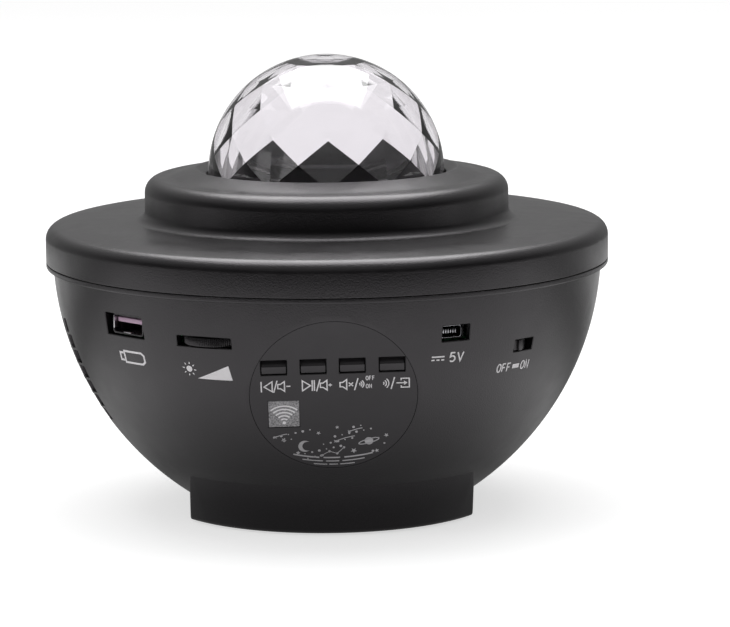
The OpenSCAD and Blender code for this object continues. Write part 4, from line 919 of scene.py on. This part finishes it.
def makeWheel():
    s = sockets["wheel"]
    axisR = bowlRadius(s["z"]) + wheel["out"] - wheel["r"]
    place = around(s["az"], axisR, 0)
    low = localBox("dimmer_wheel", place)[2][0]
    bm = bmesh.new()
    ring = []
    for i in range(2 * wheel["ridges"]):
        a = math.radians(180 * i / wheel["ridges"])
        r = wheel["r"] - wheel["cut"] * (i % 2)
        ring.append(bm.verts.new((r * math.sin(a), -r * math.cos(a), s["z"] - wheel["t"] / 2)))
    bm.faces.new(ring)
    pushed(bm, (0, 0, wheel["t"]))
    rims = [e for e in bm.edges if e.calc_face_angle(0) > 1.4
            and abs(e.verts[0].co.z - e.verts[1].co.z) < 0.01]
    bevel(bm, rims, wheel["edge"], clamp=True)
    top = s["z"] - wheel["t"] / 2 + 0.2
    shaft = placed(rod(wheel["shaftR"], top - low), shift(0, 0, (top + low) / 2))
    bm = placed(join(bm, shaft), place)
    makePiece("knurledWheel", bm, finish["button"], bodyOf["dimmer_wheel"], ("dimmer_wheel",))


def makeSockets():
    for name, m in mouths.items():
        front, back = m["y"]
        ring = roundRect(m["w"] - m["t"], m["h"] - m["t"], m["round"])
        bm = pushed(strip(ring, m["t"], closed=True), (0, back - front, 0))
        placed(bm, socketPlace(name) @ shift(0, front, 0))
        # The USB mouth takes the steel with painted shade
        makePiece(name + "Mouth", bm, finish["steelPaintedShade" if name == "usb" else "tact"], "housing")
    place = socketPlace("usb")
    springs = []
    for part in ("spring", "base"):
        x, z = usbInside[part + "At"]
        springs.append(placed(block(*usbInside[part]), place @ shift(x, 0, z)))
    makePiece("usbSprings", join(*springs), finish["steel"], "housing")
    deep = localBox("usb_tongue", place)[1][1]
    bm = block(usbInside["tongueW"], usbInside["tongueFront"], deep, usbInside["tongueH"], 0.15)
    placed(bm, place @ shift(0, 0, usbInside["tongueZ"]))
    makePiece("usbTongue", bm, finish["pink"], "housing", ("usb_tongue",))
    bars = []
    for i in range(dcInside["count"]):
        x = dcInside["pitch"] * i + dcInside["first"]
        bars.append(placed(block(*dcInside["bar"]), shift(x, 0, 0)))
    makePiece("dcContacts", placed(join(*bars), socketPlace("dc")), finish["tact"], "housing")
    # Cloth behind the slots of the grille
    over = grille["clothOver"]
    bm = sheet(roundRect(grille["w"] + over, grille["slots"] * grille["pitch"] + over,
                         grille["clothCorner"]))
    bmesh.ops.triangulate(bm, faces=bm.faces)
    cutEvery(bm, 2.0)
    pushed(bm, (0, grille["clothT"], 0))
    bmesh.ops.translate(bm, vec=(0, grille["clothDepth"], 0), verts=bm.verts)
    drape(bm, onBowl(grille["az"], grille["z"]))
    makePiece("grilleCloth", bm, finish["cloth"], "housing")


makeWheel()
makeSockets()
print("sockets ready")


# Parts of the frame that keep their shape: finish, and how much their edges are eased
eased = {
    "foot_screws": ("screw", 0.12), "ir_receiver": ("chip", 0.1),
    **{"button_plungers_" + str(i): ("button", 0.12) for i in (1, 2, 3, 4)},
    "tact_switches": ("tact", 0.1), "button_board": ("board", 0.05),
    "button_board_screws": ("screw", 0.08), "panel_ribbon": ("ribbon", 0.04),
    "main_board": ("board", 0.05), "main_board_screws": ("screw", 0.1),
    "board_chips": ("chip", 0.08), "board_capacitors": ("capacitor", 0.25),
    # The socket shells take the steel with painted shade
    "wireless_module": ("blue", 0.08), "usb_shell": ("steelPaintedShade", 0.08),
    "usb_contacts": ("gold", 0.03), "dc_shell": ("steelPaintedShade", 0.08), "dc_tongue": ("inner", 0.1),
    "switch_body": ("grey", 0.1), "switch_slider": ("button", 0.15),
    "dimmer_body": ("grey", 0.1),
    "speaker_basket": ("darkMetal", 0.1), "speaker_magnet": ("darkMetal", 0.2),
    "speaker_surround": ("rubber", 0.0), "speaker_cone": ("paper", 0.0),
    "speaker_screws": ("screw", 0.1), "speaker_leads": ("red", 0.0),
    "optics_deck": ("inner", 0.1), "deck_screws": ("screw", 0.1), "black_cup": ("inner", 0.1),
    "cup_screws": ("screw", 0.08), "ripple_disc": ("ripple", 0.0),
    "grating_wheel": ("gearWhite", 0.06), "drive_pinion": ("gearWhite", 0.06),
    "motor_shaft": ("screw", 0.06), "disc_motor": ("aluminium", 0.15),
    "motor_screws": ("screw", 0.08), "laser_module": ("brass", 0.1),
    "laser_tube": ("inner", 0.06), "lens_holder": ("inner", 0.1),
    "holder_screws": ("screw", 0.08), "condenser_lens": ("lens", 0.0),
    "led_board": ("ledWhite", 0.06), "led_chips": ("ledYellow", 0.05),
    "heat_sink": ("aluminium", 0.1), "engine_leads": ("yellow", 0.0),
}


def easedName(node):
    first, *rest = node.split("_")
    return first + "".join(word.capitalize() for word in rest) + "Eased"


def easeNode(node, key, width):
    bm = bmesh.new()
    bm.from_mesh(nodes[node].data)
    bmesh.ops.scale(bm, vec=(1 / mm, 1 / mm, 1 / mm), verts=bm.verts)
    bmesh.ops.remove_doubles(bm, verts=bm.verts, dist=0.002)
    bmesh.ops.dissolve_degenerate(bm, edges=bm.edges, dist=0.001)
    if width:
        bmesh.ops.dissolve_limit(bm, angle_limit=math.radians(1.5), verts=bm.verts, edges=bm.edges)
        roundEdges(bm, width, 38, 2)
    makePiece(easedName(node), bm, finish[key], bodyOf[node], (node,))


for node, (key, width) in eased.items():
    easeNode(node, key, width)
print("inner parts ready")


studio = {
    "floorSize": 6.0, "floorShade": 0.64,
    "floorGlow": {"plain": 0.0, "through": 1.02, "seen": 0.6},
    # The floor in reflections is painted light and shade, each as start, end and level: a painted
    # shadow near the object, painted dark far out in front and close behind, and a painted bright
    # band further back that ends again
    "mirrored": {"level": 1.6, "near": (0.06, 0.12, 0.2), "front": (-0.62, -0.42, 0.02),
                 "back": (-0.03, 0.1, 0.08), "far": (0.1, 0.3, 0.9),
                 "farEnd": (0.45, 0.6, 0.15)},
    "world": 0.5, "backdrop": 0.32, "ceiling": (0.3, 0.7, 0.6), "room": 0.02,
    "roomEdge": (-0.25, 0.3), "card": {"place": (0, 0.5, 1.35), "size": (1.3, 1.5), "glow": 6.5},
    "overhead": {"place": (0, 0.25, 1.35), "aim": (0, 0, 0.1), "size": (1.5, 1.2), "power": 13.0},
    "left": {"place": (-1.6, -0.6, 0.7), "aim": (0, 0, 0.08), "size": (0.7, 1.0), "power": 4.0},
}


# One level for rays that light the object, one for its reflections and one for what is seen
def rayLevel(tree, plain, glossy, through, seen):
    path = tree.nodes.new("ShaderNodeLightPath")
    level = plain
    for output, high in (("Is Glossy Ray", glossy), ("Is Transmission Ray", through),
                         ("Is Camera Ray", seen)):
        choice = tree.nodes.new("ShaderNodeMix")
        link(tree, path.outputs[output], choice.inputs["Factor"])
        for key, value in (("A", level), ("B", high)):
            if isinstance(value, float):
                choice.inputs[key].default_value = value
            else:
                link(tree, value, choice.inputs[key])
        level = choice.outputs["Result"]
    return level


def addMath(tree, kind, a, b):
    node = tree.nodes.new("ShaderNodeMath")
    node.operation = kind
    for i, value in enumerate((a, b)):
        if isinstance(value, float):
            node.inputs[i].default_value = value
        else:
            link(tree, value, node.inputs[i])
    return node.outputs[0]


# The floor as the object mirrors it: a painted glow with a painted shadow near the object and a
# painted bright band behind, in place of the lit floor
def mirroredFloor(tree, place):
    levels = studio["mirrored"]
    far = tree.nodes.new("ShaderNodeVectorMath")
    far.operation = "LENGTH"
    link(tree, place, far.inputs[0])
    split = tree.nodes.new("ShaderNodeSeparateXYZ")
    link(tree, place, split.inputs[0])
    # Painted shadow: the floor's glow in reflections fades near the object
    start, end, low = levels["near"]
    glow = addMath(tree, "MULTIPLY", addRange(tree, far.outputs["Value"], low, 1.0, start, end),
                   levels["level"])
    start, end, low = levels["front"]
    glow = addMath(tree, "MULTIPLY", glow, addRange(tree, split.outputs["Y"], low, 1.0, start, end))
    start, end, low = levels["back"]
    glow = addMath(tree, "MULTIPLY", glow, addRange(tree, split.outputs["Y"], 1.0, low, start, end))
    # Painted highlight: a bright band of glow further back
    start, end, high = levels["far"]
    band = addRange(tree, split.outputs["Y"], 0.0, high, start, end)
    start, end, low = levels["farEnd"]
    band = addMath(tree, "MULTIPLY", band, addRange(tree, split.outputs["Y"], 1.0, low, start, end))
    return addMath(tree, "ADD", glow, band)


def makeFloor():
    bm = bmesh.new()
    bmesh.ops.create_grid(bm, x_segments=1, y_segments=1, size=studio["floorSize"] / mm)
    floor = newObject("floor", bm)
    material, tree, shader, place = startMaterial("paleFloor")
    shade = studio["floorShade"]
    path = tree.nodes.new("ShaderNodeLightPath")
    paint = tree.nodes.new("ShaderNodeVectorMath")
    paint.operation = "SCALE"
    stops = [(0.3, (shade,) * 3), (0.7, (shade + 0.02,) * 3)]
    link(tree, addRamp(tree, addNoise(tree, place, 3), stops), paint.inputs[0])
    # Glossy rays get no lit floor colour, only the painted glow below
    link(tree, addRange(tree, path.outputs["Is Glossy Ray"], 1.0, 0.0, 0.0, 1.0),
         paint.inputs["Scale"])
    link(tree, paint.outputs["Vector"], shader.inputs["Base Color"])
    setInputs(shader, Roughness=0.6, Specular_IOR_Level=0.0, Emission_Color=(1, 1, 1, 1))
    # Reflections of the floor show only this painted light and painted shadow
    glow = rayLevel(tree, glossy=mirroredFloor(tree, place), **studio["floorGlow"])
    link(tree, glow, shader.inputs["Emission Strength"])
    floor.data.materials.append(material)


def makeWorld():
    world = bpy.data.worlds.new("studio")
    bpy.context.scene.world = world
    world.use_nodes = True
    tree = world.node_tree
    back = tree.nodes["Background"]
    back.inputs["Color"].default_value = (1, 1, 1, 1)
    # The room on the camera's side is dark, the backdrop on the other side is bright
    split = tree.nodes.new("ShaderNodeSeparateXYZ")
    link(tree, tree.nodes.new("ShaderNodeTexCoord").outputs["Generated"], split.inputs[0])
    mirrored = addRange(tree, split.outputs["Y"], studio["room"], studio["backdrop"],
                        *studio["roomEdge"])
    start, end, high = studio["ceiling"]
    above = addRange(tree, split.outputs["Z"], 0.0, high, start, end)
    mirrored = addMath(tree, "ADD", mirrored, above)
    link(tree, rayLevel(tree, studio["world"], mirrored, 1.0, 1.0), back.inputs["Strength"])


def addLamp(name, glossy=True):
    place, aim, size, power = (studio[name][key] for key in ("place", "aim", "size", "power"))
    data = bpy.data.lights.new(name, "AREA")
    data.shape, data.size, data.size_y, data.energy = "RECTANGLE", size[0], size[1], power
    light = bpy.data.objects.new(name, data)
    bpy.context.scene.collection.objects.link(light)
    light.location = place
    light.rotation_euler = (Vector(aim) - Vector(place)).to_track_quat("-Z", "Y").to_euler()
    light.visible_glossy = glossy


# A bright panel overhead that only glossy surfaces see
def addCard():
    bm = bmesh.new()
    bmesh.ops.create_grid(bm, x_segments=1, y_segments=1, size=0.5)
    size = studio["card"]["size"]
    bmesh.ops.scale(bm, vec=(size[0] / mm, size[1] / mm, 1), verts=bm.verts)
    placed(bm, Matrix.Translation([c / mm for c in studio["card"]["place"]]))
    card = newObject("softBox", bm)
    material = bpy.data.materials.new("softBoxGlow")
    material.use_nodes = True
    setInputs(material.node_tree.nodes["Principled BSDF"], Emission_Color=(1, 1, 1, 1),
              Emission_Strength=studio["card"]["glow"])
    card.data.materials.append(material)
    for kind in ("camera", "diffuse", "transmission", "volume_scatter", "shadow"):
        setattr(card, "visible_" + kind, False)


makeFloor()
makeWorld()
addLamp("overhead")
addLamp("left", glossy=False)
addCard()
bpy.context.scene.view_settings.view_transform = "Standard"
print("studio ready")
